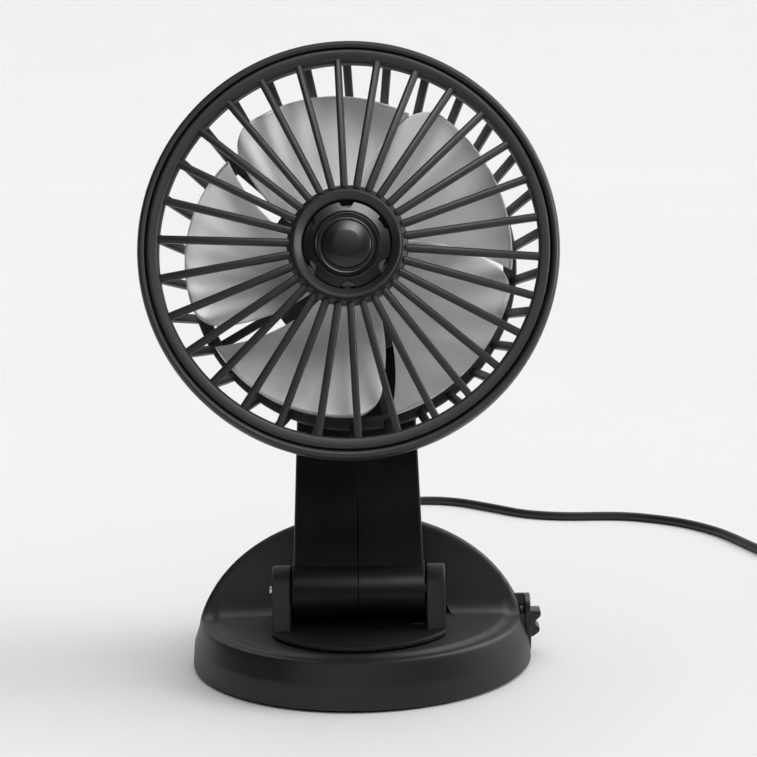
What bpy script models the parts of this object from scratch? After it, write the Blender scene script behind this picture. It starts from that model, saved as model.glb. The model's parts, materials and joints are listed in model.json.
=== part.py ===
"""A small desk fan: a round grille head on a folding arm, on a domed base with a turntable and a switch.

Metres, +Z up. The origin is on the table under the middle of the base, and the fan faces -Y.
"""

import math

import bmesh
import bpy
from mathutils import Matrix, Vector

GAP = 0.0003
SCREW_RADIUS = 0.0011

# Base: a domed shell, scooped out in front for the turntable.
DOME_RADIUS = 0.0537
DOME_SKIRT = 0.004
DOME_TOP = 0.0493
DOME_POWER = 2.1
FOOT_RADIUS = 0.0546
SHELL_BOTTOM = 0.0008
WALL = 0.0022
DECK_HEIGHT = 0.0156
HUMP_FOOT = 0.001
HUMP_LEAN = math.radians(29)
HUMP_FILLET = 0.009
PLATE_RADIUS = 0.0510
PLATE_BOTTOM = 0.0018
PLATE_TOP = 0.0038
PAD_RADIUS = 0.006
PAD_CIRCLE = 0.034
POST_CIRCLE = 0.0483
POST_RADIUS = 0.003
WEIGHT_RADIUS = 0.044
WEIGHT_TOP = 0.0081

# Rocker switch on the right of the base.
SWITCH_Y = 0.004
SWITCH_HEIGHT = 0.0106
SWITCH_RADIUS = 0.0094
SWITCH_BODY_RADIUS = 0.0064
SWITCH_FACE = 0.0529
BEZEL_THICKNESS = 0.0018

# Turntable with two ears, and the arm's hinge between them.
TURN_Y = -0.0135
NICHE_RADIUS = 0.031
NICHE_DEPTH = 0.0001
TURN_RADIUS = 0.030
TURN_TOP = 0.0173
EAR_INNER = 0.0212
EAR_OUTER = 0.0272
EAR_TOP_RADIUS = 0.0080
HINGE_HEIGHT = 0.0271
PIN_RADIUS = 0.0015
HOLE_RADIUS = 0.0018

# Arm: two half shells, leaning back, with a knuckle at each end.
LEAN = math.radians(16)
ARM_LENGTH = 0.100
ARM_HALF_THICKNESS = 0.006
BARREL_HALF_WIDTH = 0.0208
BARREL_OUTER = 0.0094
ARM_TOP_HALF_WIDTH = 0.0172
ARM_SCREW_HEIGHTS = (0.047, 0.0845)
KNUCKLE_RADIUS = 0.0075
SLOT_HALF_WIDTH = 0.0082
LUG_HALF_WIDTH = 0.0078

# Head: distances are measured back from the front face of the grille's rim.
FACE = 0.059
RIM_RADIUS = 0.0625
SEAM_RADIUS = 0.0597
RIM_INNER = 0.0560
REAR_RING_RADIUS = 0.0502
REAR_RING_DEPTH = 0.0395
RIB_COUNT = 30
RIB_WIDTH = 0.0022
BAR_WIDTH = 0.0026
GRILLE_TURN = math.radians(-2.3)
MOUNT_RADIUS = 0.0275
HUB_RING_RADIUS = 0.0161
BLADE_COUNT = 5
BLADE_RADIUS = 0.0493
BLADE_ROOT = 0.0145
BLADE_FRONT = 0.0085
BLADE_BACK = 0.0265
BLADE_SPAN = math.radians(67)
BLADE_SWEEP = math.radians(0.6) / 0.001
BLADE_THICKNESS = 0.0014
CORNER_RADIUS = 0.006
MOTOR_RADIUS = 0.0120
MOTOR_FRONT = 0.0200
SHAFT_RADIUS = 0.0010
MOTOR_SCREW_CIRCLE = 0.0075
BRACKET_SCREW_CIRCLE = 0.0218
BLADE_PHASE = math.radians(18.2)

# Lead: out of the back of the base, along the table, into a coil with its plug beside it.
LEAD_RADIUS = 0.0017
LEAD_EXIT_HEIGHT = 0.0090
LEAD_COLLAR_END = 0.0600
LEAD_ROUTE = [
    (0.0000, 0.0500, LEAD_EXIT_HEIGHT), (0.0000, 0.0660, LEAD_EXIT_HEIGHT), (0.0000, 0.0760, 0.0078),
    (-0.0002, 0.0870, 0.0042), (-0.0008, 0.0990, LEAD_RADIUS), (-0.0028, 0.1250, LEAD_RADIUS),
    (-0.0060, 0.1500, LEAD_RADIUS), (-0.0085, 0.1740, LEAD_RADIUS), (-0.0056, 0.1965, LEAD_RADIUS),
    (0.0060, 0.2106, LEAD_RADIUS), (0.0208, 0.2146, LEAD_RADIUS), (0.0348, 0.2106, LEAD_RADIUS),
    (0.0488, 0.1994, LEAD_RADIUS), (0.0622, 0.1880, LEAD_RADIUS), (0.0776, 0.1828, LEAD_RADIUS),
    (0.0993, 0.1816, LEAD_RADIUS), (0.1129, 0.1764, LEAD_RADIUS), (0.1256, 0.1669, LEAD_RADIUS),
    (0.1371, 0.1511, LEAD_RADIUS), (0.1474, 0.1257, LEAD_RADIUS), (0.1560, 0.1030, LEAD_RADIUS),
    (0.1600, 0.0880, LEAD_RADIUS), (0.1605, 0.0700, LEAD_RADIUS),
]
COIL_CENTRE = (0.1856, 0.0700)
COIL_RADIUS = 0.0195
COIL_BOTTOM = 0.0008
COIL_TOP = 0.0110
COIL_HALF_WIDTH = 0.0036
TIE_THICKNESS = 0.0005
TIE_WIDTH = 0.005
PLUG_HEIGHT = 0.0041

BLACK = (0.018, 0.018, 0.019)
PALE = (0.60, 0.61, 0.62)
STEEL = (0.60, 0.60, 0.62)


def clear_scene():
    for thing in list(bpy.data.objects):
        bpy.data.objects.remove(thing)


def new_collection(name):
    collection = bpy.data.collections.new(name)
    bpy.context.scene.collection.children.link(collection)
    return collection


clear_scene()
PARTS = new_collection("desk_fan")
CUTTERS = new_collection("cutters")


def material(name, colour, roughness, metallic=0.0):
    result = bpy.data.materials.new(name)
    result.use_nodes = True
    shader = result.node_tree.nodes["Principled BSDF"]
    shader.inputs["Base Color"].default_value = (*colour, 1.0)
    shader.inputs["Roughness"].default_value = roughness
    shader.inputs["Metallic"].default_value = metallic
    return result


def frame(name, parent=None, location=(0, 0, 0), turn=Matrix.Identity(3)):
    """An empty that carries the pieces of one moving body, at its joint."""
    empty = bpy.data.objects.new(name, None)
    PARTS.objects.link(empty)
    empty.parent = parent
    empty.matrix_local = Matrix.Translation(location) @ turn.to_4x4()
    return empty


def place(obj, parent, is_cutter=False):
    """Links an object, and marks a cutter so that it is left out of the model."""
    (CUTTERS if is_cutter else PARTS).objects.link(obj)
    obj.parent = parent
    if is_cutter:
        obj.hide_render = True
        obj.display_type = "WIRE"
    return obj


def mesh_object(name, bm, parent=None, surface=None):
    mesh = bpy.data.meshes.new(name)
    bm.to_mesh(mesh)
    bm.free()
    if mesh.polygons:
        mesh.shade_smooth()
        mesh.set_sharp_from_angle(angle=math.radians(35))
    if surface:
        mesh.materials.append(surface)
    return place(bpy.data.objects.new(name, mesh), parent, surface is None)


def turned(name, profile, parent=None, surface=None, steps=48):
    """A closed profile of (radius, height) points, outer side from top to bottom, turned about Z."""
    bm = bmesh.new()
    points = [bm.verts.new((radius, 0, height)) for radius, height in profile]
    for first, second in zip(points, points[1:]):
        bm.edges.new((first, second))
    if profile[0][0] > 0:
        bm.edges.new((points[-1], points[0]))
    obj = mesh_object(name, bm, parent, surface)
    screw = obj.modifiers.new("turn", "SCREW")
    screw.steps = steps
    screw.render_steps = steps
    screw.use_merge_vertices = True
    screw.merge_threshold = 0.00001
    return obj


def disc(name, radius, bottom, top, parent=None, surface=None, steps=32, hole=0.0):
    profile = [(radius, top), (radius, bottom)]
    if hole:
        return turned(name, [*profile, (hole, bottom), (hole, top)], parent, surface, steps)
    return turned(name, [(0, top), *profile, (0, bottom)], parent, surface, steps)


def add_box(bm, size, matrix):
    bmesh.ops.create_cube(bm, size=1.0, matrix=matrix @ Matrix.Diagonal((*size, 1.0)))


def screw_profile(tip, under, end, head_radius):
    """A screw that points up: the heights of its tip and of both sides of its head."""
    shank = SCREW_RADIUS
    return [(0, tip), (shank, tip), (shank, under), (head_radius, under), (head_radius, end), (0, end)]


def box(name, size, centre, parent=None, surface=None, round_edges=0.0):
    bm = bmesh.new()
    add_box(bm, size, Matrix.Translation(centre))
    obj = mesh_object(name, bm, parent, surface)
    if round_edges:
        soften(obj, round_edges)
    return obj


def rod(name, radius, start, end, parent=None, surface=None, sides=24):
    """A plain cylinder between two points."""
    along = Vector(end) - Vector(start)
    turn = along.to_track_quat("Z", "Y").to_matrix().to_4x4()
    matrix = Matrix.Translation((Vector(start) + Vector(end)) / 2) @ turn
    bm = bmesh.new()
    bmesh.ops.create_cone(
        bm, cap_ends=True, segments=sides, radius1=radius, radius2=radius, depth=along.length, matrix=matrix
    )
    return mesh_object(name, bm, parent, surface)


def prism(name, outline, half_depth, parent=None, surface=None, matrix=Matrix.Identity(4)):
    """A flat outline, filled and thickened, as a mesh. The outline's plane is the matrix's XY plane."""
    curve = bpy.data.curves.new(name, "CURVE")
    curve.dimensions = "2D"
    curve.fill_mode = "BOTH"
    curve.extrude = half_depth
    spline = curve.splines.new("POLY")
    spline.points.add(len(outline) - 1)
    for point, (x, y) in zip(spline.points, outline):
        point.co = (x, y, 0, 1)
    spline.use_cyclic_u = True
    guide = bpy.data.objects.new(name + "_outline", curve)
    bpy.context.scene.collection.objects.link(guide)
    graph = bpy.context.evaluated_depsgraph_get()
    mesh = bpy.data.meshes.new_from_object(guide.evaluated_get(graph))
    bpy.data.objects.remove(guide)
    bm = bmesh.new()
    bm.from_mesh(mesh)
    bpy.data.meshes.remove(mesh)
    bmesh.ops.remove_doubles(bm, verts=bm.verts, dist=0.00001)
    bmesh.ops.transform(bm, matrix=matrix, verts=bm.verts)
    return mesh_object(name, bm, parent, surface)


def soften(obj, width, segments=1):
    bevel = obj.modifiers.new("soften", "BEVEL")
    bevel.width = width
    bevel.segments = segments
    bevel.limit_method = "ANGLE"
    bevel.angle_limit = math.radians(40)
    return obj


def combine(obj, operation, *others):
    for other in others:
        boolean = obj.modifiers.new(operation.lower(), "BOOLEAN")
        boolean.operation = operation
        boolean.object = other
    return obj


def cut(obj, *others):
    return combine(obj, "DIFFERENCE", *others)


def join(obj, *others):
    return combine(obj, "UNION", *others)


def arc(centre, radius, start, end, steps):
    """Points on an arc, with angles in degrees from +X towards +Y."""
    for step in range(steps + 1):
        angle = math.radians(start + (end - start) * step / steps)
        yield centre[0] + radius * math.cos(angle), centre[1] + radius * math.sin(angle)


# Turns what is modelled along +Z to point along +Y.
BACKWARDS = Matrix.Rotation(math.radians(-90), 4, "X")
# The outline's plane is turned to stand in Y and Z, with its thickness along X.
SIDEWAYS = Matrix(((0, 0, 1, 0), (1, 0, 0, 0), (0, 1, 0, 0), (0, 0, 0, 1)))

MATTE_BLACK = material("matte_black_plastic", BLACK, 0.48)
GLOSS_BLACK = material("satin_black_plastic", (0.012, 0.012, 0.013), 0.34)
PALE_PLASTIC = material("pale_grey_plastic", PALE, 0.38)
STEEL_METAL = material("bright_steel", STEEL, 0.28, 1.0)
BRASS_METAL = material("brass", (0.62, 0.43, 0.16), 0.35, 1.0)
RUBBER = material("black_rubber", (0.02, 0.02, 0.02), 0.8)
BOARD_GREEN = material("circuit_board_green", (0.03, 0.16, 0.06), 0.5)
WIRE_BLACK = material("cable_jacket", (0.022, 0.022, 0.023), 0.42)
WHITE_MARK = material("white_plastic", (0.75, 0.75, 0.75), 0.5)

TURN_FRAME = frame("turntable_axis", None, (0, TURN_Y, 0))
ROCKER_FRAME = frame("rocker_axis", None, (SWITCH_FACE - 0.001, SWITCH_Y, SWITCH_HEIGHT))
ARM_FRAME = frame("arm_axis", TURN_FRAME, (0, 0, HINGE_HEIGHT), Matrix.Rotation(-LEAN, 3, "X"))
# The head's frame has X to the right, Y up the arm and Z forwards along the fan's axis.
FORWARDS = Matrix.Rotation(math.radians(90), 3, "X")
HEAD_FRAME = frame("head_axis", ARM_FRAME, (0, 0, ARM_LENGTH), FORWARDS)
ROTOR_FRAME = frame("rotor_axis", HEAD_FRAME)


def dome_profile(inset, floor, steps):
    """The dome's outer side, from its top down to the floor."""
    top = DOME_TOP - inset
    skirt_radius = DOME_RADIUS - inset
    for step in range(steps + 1):
        share = math.cos(math.pi / 2 * step / steps)
        radius = skirt_radius * math.sqrt(1 - share**DOME_POWER)
        yield radius, DOME_SKIRT + (top - DOME_SKIRT) * share
    yield FOOT_RADIUS - inset, 0.0016
    yield FOOT_RADIUS - inset, floor
    yield 0, floor


def scoop(name, inset):
    """The cut that makes the deck, the hump's leaning front and the round niche for the turntable."""
    deck = DECK_HEIGHT - inset
    foot = HUMP_FOOT + inset
    half_turn = 90 - math.degrees(HUMP_LEAN)
    reach = HUMP_FILLET * math.tan(math.radians(half_turn / 2))
    centre = (foot - reach, deck + HUMP_FILLET)
    top = 0.060
    outline = [(-0.070, deck)]
    outline += arc(centre, HUMP_FILLET, -90, -90 + half_turn, 5)
    outline += [(foot + (top - deck) * math.tan(HUMP_LEAN), top), (-0.070, top)]
    return prism(name, outline, 0.065, matrix=SIDEWAYS)


def switch_rod(name, radius, start, end, surface=None):
    """A cylinder on the switch's own line, between two distances from the middle of the base."""
    ends = (start, SWITCH_Y, SWITCH_HEIGHT), (end, SWITCH_Y, SWITCH_HEIGHT)
    return rod(name, radius, *ends, None, surface, 28)


def base_shell():
    shell = turned("base_shell", list(dome_profile(0, SHELL_BOTTOM, 9)), None, MATTE_BLACK, 54)
    niche = disc("niche_cut", NICHE_RADIUS, DECK_HEIGHT - NICHE_DEPTH, 0.060, TURN_FRAME, steps=48)
    inside = turned("base_inside", list(dome_profile(WALL, -0.001, 6)), None, None, 42)
    roof = disc("niche_roof", NICHE_RADIUS + WALL, DECK_HEIGHT - WALL, 0.061, TURN_FRAME, steps=32)
    cut(inside, scoop("scoop_inside", WALL), roof)
    cut(shell, inside)
    join(shell, switch_rod("switch_boss", SWITCH_RADIUS, 0.042, SWITCH_FACE))
    cut(shell, scoop("scoop_cut", 0), niche)
    for number, (x, y) in enumerate(post_places(), 1):
        join(shell, rod(f"post_{number}", POST_RADIUS, (x, y, PLATE_TOP + GAP), (x, y, 0.0145), sides=16))
        cut(shell, rod(f"post_hole_{number}", 0.0014, (x, y, 0), (x, y, 0.0125), sides=12))
    seat = switch_rod("switch_seat", SWITCH_RADIUS + GAP, SWITCH_FACE - GAP, 0.060)
    switch_hole = switch_rod("switch_hole", SWITCH_BODY_RADIUS + GAP, 0.030, 0.060)
    axle_hole = disc("axle_hole", 0.0041, 0.010, 0.020, TURN_FRAME, steps=24)
    lead_line = (0, 0.045, LEAD_EXIT_HEIGHT), (0, 0.062, LEAD_EXIT_HEIGHT)
    lead_hole = rod("lead_hole", 0.0032, *lead_line, sides=18)
    cut(shell, seat, switch_hole, axle_hole, lead_hole)
    # The exact solver leaves slits round the axle hole, and the manifold one doesn't.
    for modifier in shell.modifiers:
        if modifier.type == "BOOLEAN":
            modifier.solver = "MANIFOLD"


def post_places():
    for quarter in range(4):
        angle = math.radians(45 + 90 * quarter)
        yield POST_CIRCLE * math.cos(angle), POST_CIRCLE * math.sin(angle)


def base_underside():
    plate = disc("base_plate", PLATE_RADIUS, PLATE_BOTTOM, PLATE_TOP, None, MATTE_BLACK, 48)
    weight = disc("base_weight", WEIGHT_RADIUS, PLATE_TOP + GAP, WEIGHT_TOP, None, STEEL_METAL, 40)
    cut(plate, box("plate_notch", (0.0150, 0.0150, 0.010), (0.0491, SWITCH_Y, 0.005)))
    cut(weight, box("weight_notch", (0.026, 0.0196, 0.010), (0.044, SWITCH_Y, 0.006)))
    for number, (x, y) in enumerate(post_places(), 1):
        cut(plate, rod(f"plate_hole_{number}", 0.0016, (x, y, 0), (x, y, 0.006), sides=12))
        cut(plate, rod(f"head_hole_{number}", 0.0029, (x, y, 0), (x, y, 0.0030), sides=16))
        profile = screw_profile(0.0118, 0.0027, PLATE_BOTTOM, 0.0026)
        turned(f"base_screw_{number}", profile, None, STEEL_METAL, 12).location = (x, y, 0)
    for quarter in range(4):
        angle = math.radians(90 * quarter)
        pad = disc(f"foot_pad_{quarter + 1}", PAD_RADIUS, 0, PLATE_BOTTOM - GAP, None, RUBBER, 24)
        pad.location = (PAD_CIRCLE * math.cos(angle), PAD_CIRCLE * math.sin(angle), 0)
    box("circuit_board", (0.034, 0.020, 0.0016), (-0.004, 0.026, WEIGHT_TOP + 0.0012), None, BOARD_GREEN)
    board_top = WEIGHT_TOP + 0.0020 + GAP
    capacitor = (-0.012, 0.028, board_top), (-0.012, 0.028, board_top + 0.009)
    rod("board_capacitor", 0.0032, *capacitor, None, GLOSS_BLACK, 20)


def switch():
    """A round rocker switch: its body is pushed into the base, and the rocker tips about Y."""
    front = SWITCH_FACE + BEZEL_THICKNESS
    body = switch_rod("switch_body", SWITCH_BODY_RADIUS, 0.040, front, GLOSS_BLACK)
    bezel = switch_rod("switch_bezel", SWITCH_RADIUS, SWITCH_FACE, front)
    window = box("switch_window", (0.0080, 0.0072, 0.0100), (front - 0.0030, SWITCH_Y, SWITCH_HEIGHT))
    cut(join(body, bezel), window)
    outline = [(-0.0043, -0.0020), (0.0043, -0.0020), (0.0043, 0.0046), (0.0, 0.0034), (-0.0043, 0.0062)]
    stand = Matrix(((0, 1, 0, 0), (0, 0, -1, 0), (-1, 0, 0, 0), (0, 0, 0, 1)))
    prism("switch_rocker", outline, 0.0033, ROCKER_FRAME, GLOSS_BLACK, stand)
    for number, side in enumerate((-1, 1), 1):
        centre = (0.0365, SWITCH_Y, SWITCH_HEIGHT + side * 0.0030)
        box(f"switch_terminal_{number}", (0.0064, 0.0028, 0.0008), centre, None, BRASS_METAL)


def turntable():
    """A thin plate with two upright ears, and a boss that passes through the deck."""
    plate = disc("turntable", TURN_RADIUS, DECK_HEIGHT + GAP, TURN_TOP, TURN_FRAME, MATTE_BLACK, 72)
    trim = EAR_OUTER + 0.010
    for side in (-1, 1):
        middle = (side * trim, 0, 0.0165)
        cut(plate, box(f"plate_trim_{side + 2}", (0.020, 0.080, 0.006), middle, TURN_FRAME))
    thickness = EAR_OUTER - EAR_INNER
    outline = [(-0.0125, 0.0162), (0.0125, 0.0162)]
    outline += arc((0, HINGE_HEIGHT), EAR_TOP_RADIUS, 10, 170, 10)
    for side in (-1, 1):
        shift = Matrix.Translation((side * (EAR_INNER + thickness / 2), 0, 0))
        join(plate, prism(f"ear_{side + 2}", outline, thickness / 2, TURN_FRAME, None, shift @ SIDEWAYS))
    join(plate, disc("turn_boss", 0.0038, 0.0129, 0.0165, TURN_FRAME, steps=24))
    pin_line = (-0.040, 0, HINGE_HEIGHT), (0.040, 0, HINGE_HEIGHT)
    cut(plate, rod("ear_hole", HOLE_RADIUS, *pin_line, TURN_FRAME, sides=16))
    cut(plate, disc("boss_hole", 0.0016, 0.010, 0.0160, TURN_FRAME, steps=16))
    cut(plate, box("lead_slot", (0.0050, 0.0032, 0.008), (0.0183, -0.0065, 0.0165), TURN_FRAME))
    disc("turntable_washer", 0.0080, 0.0116, 0.0126, TURN_FRAME, STEEL_METAL, 20, 0.0017)
    profile = [
        (0, 0.0157), (0.0013, 0.0157), (0.0013, 0.0113), (0.0029, 0.0113), (0.0029, 0.0095), (0, 0.0095),
    ]
    turned("turntable_screw", profile, TURN_FRAME, STEEL_METAL, 16)
    pin = (-EAR_OUTER - 0.0013, 0, HINGE_HEIGHT), (EAR_OUTER - 0.0006, 0, HINGE_HEIGHT)
    soften(rod("hinge_pin", PIN_RADIUS, *pin, TURN_FRAME, STEEL_METAL, 20), 0.0003)


def arm_outline(inset, bottom, top):
    """The arm's front view: a flat panel that narrows upwards, between two heights."""
    def half_width(height):
        share = height / ARM_LENGTH
        return BARREL_HALF_WIDTH + (ARM_TOP_HALF_WIDTH - BARREL_HALF_WIDTH) * share - inset

    low, high = half_width(bottom), half_width(top)
    return [(-low, bottom), (low, bottom), (high, top), (-high, top)]


def arm_body(name, side):
    """One half of the arm: the whole arm's solid, kept on one side of the middle plane."""
    upright = Matrix.Rotation(math.radians(90), 4, "X")
    body = prism(name, arm_outline(0, 0, ARM_LENGTH), ARM_HALF_THICKNESS, ARM_FRAME, MATTE_BLACK, upright)
    soften(body, 0.0012)
    across = BARREL_HALF_WIDTH
    top = ARM_TOP_HALF_WIDTH
    join(body, rod(name + "_barrel", BARREL_OUTER, (-across, 0, 0), (across, 0, 0), ARM_FRAME, sides=32))
    knuckle = (-top, 0, ARM_LENGTH), (top, 0, ARM_LENGTH)
    join(body, rod(name + "_knuckle", KNUCKLE_RADIUS, *knuckle, ARM_FRAME, sides=24))
    for number, (bottom, upper) in enumerate(((0.013, 0.042), (0.052, 0.080)), 1):
        pocket = arm_outline(WALL, bottom, upper)
        inside = ARM_HALF_THICKNESS - WALL
        cut(body, prism(f"{name}_pocket_{number}", pocket, inside, ARM_FRAME, None, upright))
    slot = (2 * SLOT_HALF_WIDTH, 0.030, 0.030)
    cut(body, box(name + "_slot", slot, (0, 0, ARM_LENGTH - 0.0095 + 0.015), ARM_FRAME))
    cut(body, rod(name + "_hinge_bore", HOLE_RADIUS, (-0.03, 0, 0), (0.03, 0, 0), ARM_FRAME, sides=16))
    cut(body, rod(name + "_sleeve_bore", 0.0035, (-0.0153, 0, 0), (0.0153, 0, 0), ARM_FRAME, sides=24))
    tilt = (-0.0155, 0, ARM_LENGTH), (0.0155, 0, ARM_LENGTH)
    cut(body, rod(name + "_tilt_bore", HOLE_RADIUS, *tilt, ARM_FRAME, sides=16))
    for number, height in enumerate(ARM_SCREW_HEIGHTS, 1):
        hole = (-0.010, 0, height), (0.030, 0, height)
        cut(body, rod(f"{name}_screw_hole_{number}", 0.0014, *hole, ARM_FRAME, sides=12))
        recess = (0.0128, 0, height), (0.030, 0, height)
        cut(body, rod(f"{name}_screw_recess_{number}", 0.0028, *recess, ARM_FRAME, sides=16))
    seam = 0.00015
    away = (0.060, 0.060, 0.200)
    cut(body, box(name + "_half", away, (-side * (0.030 - seam), 0, 0.050), ARM_FRAME))


def arm():
    arm_body("arm_left", -1)
    arm_body("arm_right", 1)
    sleeve = 0.0150
    tube = rod("hinge_sleeve", 0.0032, (-sleeve, 0, 0), (sleeve, 0, 0), ARM_FRAME, BRASS_METAL, 24)
    cut(tube, rod("sleeve_hole", HOLE_RADIUS, (-0.02, 0, 0), (0.02, 0, 0), ARM_FRAME, sides=16))
    for number, height in enumerate(ARM_SCREW_HEIGHTS, 1):
        profile = screw_profile(0.0090, -0.0132, -0.0152, 0.0025)
        screw = turned(f"arm_screw_{number}", profile, ARM_FRAME, STEEL_METAL, 12)
        screw.matrix_local = Matrix.Translation((0, 0, height)) @ Matrix.Rotation(math.radians(-90), 4, "Y")
    tilt = (-0.0152, 0, ARM_LENGTH), (0.0152, 0, ARM_LENGTH)
    rod("tilt_pin", PIN_RADIUS, *tilt, ARM_FRAME, STEEL_METAL, 20)


def depth(distance):
    """The height in the head's frame of a point so far behind the rim's front face."""
    return FACE - distance


def ring_profile(points):
    return [(radius, depth(distance)) for radius, distance in points]


def spoke_mesh(count, turn, inner, outer, width, thickness):
    """Straight bars from an inner to an outer (radius, distance) point, one every 360/count degrees."""
    bm = bmesh.new()
    start = Vector((0, inner[0], depth(inner[1])))
    end = Vector((0, outer[0], depth(outer[1])))
    along = end - start
    slope = math.atan2(along.z, along.y)
    size = (width, along.length, thickness)
    bar = Matrix.Translation((start + end) / 2) @ Matrix.Rotation(slope, 4, "X")
    for number in range(count):
        around = Matrix.Rotation(-turn - 2 * math.pi * number / count, 4, "Z")
        add_box(bm, size, around @ bar)
    return bm


def rear_guard():
    rim = [
        (SEAM_RADIUS + GAP, 0.0006), (0.0612, 0.0000), (0.0621, 0.0007), (RIM_RADIUS, 0.0022),
        (RIM_RADIUS, 0.0085), (0.0616, 0.0125), (0.0586, 0.0125), (0.0566, 0.0090), (0.0566, 0.0052),
        (SEAM_RADIUS + GAP, 0.0052),
    ]
    guard = turned("rear_guard", ring_profile(rim), HEAD_FRAME, MATTE_BLACK, 60)
    inner, outer = REAR_RING_RADIUS - 0.0032, REAR_RING_RADIUS + 0.0010
    front, back = REAR_RING_DEPTH - 0.0010, REAR_RING_DEPTH + 0.0018
    ring = [(outer, front), (outer, back), (inner, back), (inner, front)]
    join(guard, turned("rear_ring", ring_profile(ring), HEAD_FRAME, steps=45))
    mount = [(0, front), (MOUNT_RADIUS, front), (MOUNT_RADIUS, back), (0, back)]
    join(guard, turned("motor_mount", ring_profile(mount), HEAD_FRAME, steps=30))
    side = spoke_mesh(RIB_COUNT, 0, (0.0499, REAR_RING_DEPTH + 0.0004), (0.0596, 0.0105), BAR_WIDTH, 0.0024)
    join(guard, mesh_object("side_bars", side, HEAD_FRAME))
    rear_level = REAR_RING_DEPTH + 0.0004
    rear = spoke_mesh(RIB_COUNT // 2, 0, (0.0262, rear_level), (0.0482, rear_level), BAR_WIDTH, 0.0022)
    join(guard, mesh_object("rear_bars", rear, HEAD_FRAME))
    cut(guard, head_holes("guard_holes_inner", MOTOR_SCREW_CIRCLE, 90))
    cut(guard, head_holes("guard_holes_outer", BRACKET_SCREW_CIRCLE, 30))
    cut(guard, disc("motor_wire_hole", 0.0024, depth(0.050), depth(0.030), HEAD_FRAME, steps=16))


def head_screw_places(circle, first):
    for number in range(3):
        angle = math.radians(first + 120 * number)
        yield circle * math.cos(angle), circle * math.sin(angle)


def head_holes(name, circle, first):
    """Three screw holes through the head's back, with the first one at an angle in degrees."""
    holes = bmesh.new()
    for x, y in head_screw_places(circle, first):
        place_at = Matrix.Translation((x, y, depth(REAR_RING_DEPTH)))
        bmesh.ops.create_cone(
            holes, cap_ends=True, segments=12, radius1=0.0014, radius2=0.0014, depth=0.011, matrix=place_at
        )
    return mesh_object(name, holes, HEAD_FRAME)


def head_screws(name, circle, first, tip, under):
    """Three screws that point forwards: the tip's and the head's distances are from the rim's front face."""
    for number, (x, y) in enumerate(head_screw_places(circle, first), 1):
        profile = screw_profile(depth(tip), depth(under), depth(under + 0.0014), 0.0023)
        turned(f"{name}_{number}", profile, HEAD_FRAME, STEEL_METAL, 12).location = (x, y, 0)


def front_grille():
    rim = [
        (RIM_INNER + 0.0006, 0.0002), (SEAM_RADIUS - 0.0006, 0.0000), (SEAM_RADIUS, 0.0007),
        (SEAM_RADIUS, 0.0046), (RIM_INNER + 0.0012, 0.0046), (RIM_INNER, 0.0012),
    ]
    grille = turned("front_grille", ring_profile(rim), HEAD_FRAME, MATTE_BLACK, 60)
    hub = [
        (0.0155, -0.0070), (HUB_RING_RADIUS, -0.0066), (0.0164, -0.0050), (0.0179, -0.0042),
        (0.0179, -0.0008), (0.0120, -0.0008), (0.0120, -0.0020), (0.0132, -0.0020), (0.0132, -0.0052),
    ]
    join(grille, turned("hub_ring", ring_profile(hub), HEAD_FRAME, steps=40))
    ribs = spoke_mesh(RIB_COUNT, GRILLE_TURN, (0.0170, -0.0026), (0.0575, 0.0022), RIB_WIDTH, 0.0032)
    join(grille, mesh_object("front_ribs", ribs, HEAD_FRAME))
    cap = [
        (0, -0.0074), (0.0040, -0.0072), (0.0070, -0.0064), (0.0074, -0.0052), (0.0085, -0.0052),
        (0.0092, -0.0060), (0.0098, -0.0048), (0.0129, -0.0044), (0.0129, -0.0023), (0, -0.0023),
    ]
    badge = turned("hub_cap", ring_profile(cap), HEAD_FRAME, GLOSS_BLACK, 36)
    notches = bmesh.new()
    for number in range(6):
        angle = 2 * math.pi * number / 6
        place_at = Matrix.Translation((0.0132 * math.sin(angle), 0.0132 * math.cos(angle), depth(-0.004)))
        bmesh.ops.create_cone(
            notches, cap_ends=True, segments=12, radius1=0.0019, radius2=0.0019, depth=0.010, matrix=place_at
        )
    cut(badge, mesh_object("cap_notches", notches, HEAD_FRAME))


def blade_point(across, along):
    """A point on a blade's middle surface. Both shares run from 0 to 1: across from the root to the tip,
    and along from the front edge, anticlockwise from the viewer, to the back edge."""
    radius = BLADE_ROOT + (BLADE_RADIUS - BLADE_ROOT) * across
    corner = max(0.0, 1 - (BLADE_RADIUS - radius) / CORNER_RADIUS)
    trim = CORNER_RADIUS * (1 - math.sqrt(1 - corner**2)) / radius
    angle = BLADE_SWEEP * (radius - 0.034) + trim + (BLADE_SPAN - trim) * along
    camber = 0.0016 * math.sin(math.pi * along)
    distance = BLADE_FRONT + (BLADE_BACK - BLADE_FRONT) * along - camber
    return Vector((radius * math.sin(angle), radius * math.cos(angle), depth(distance)))


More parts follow.
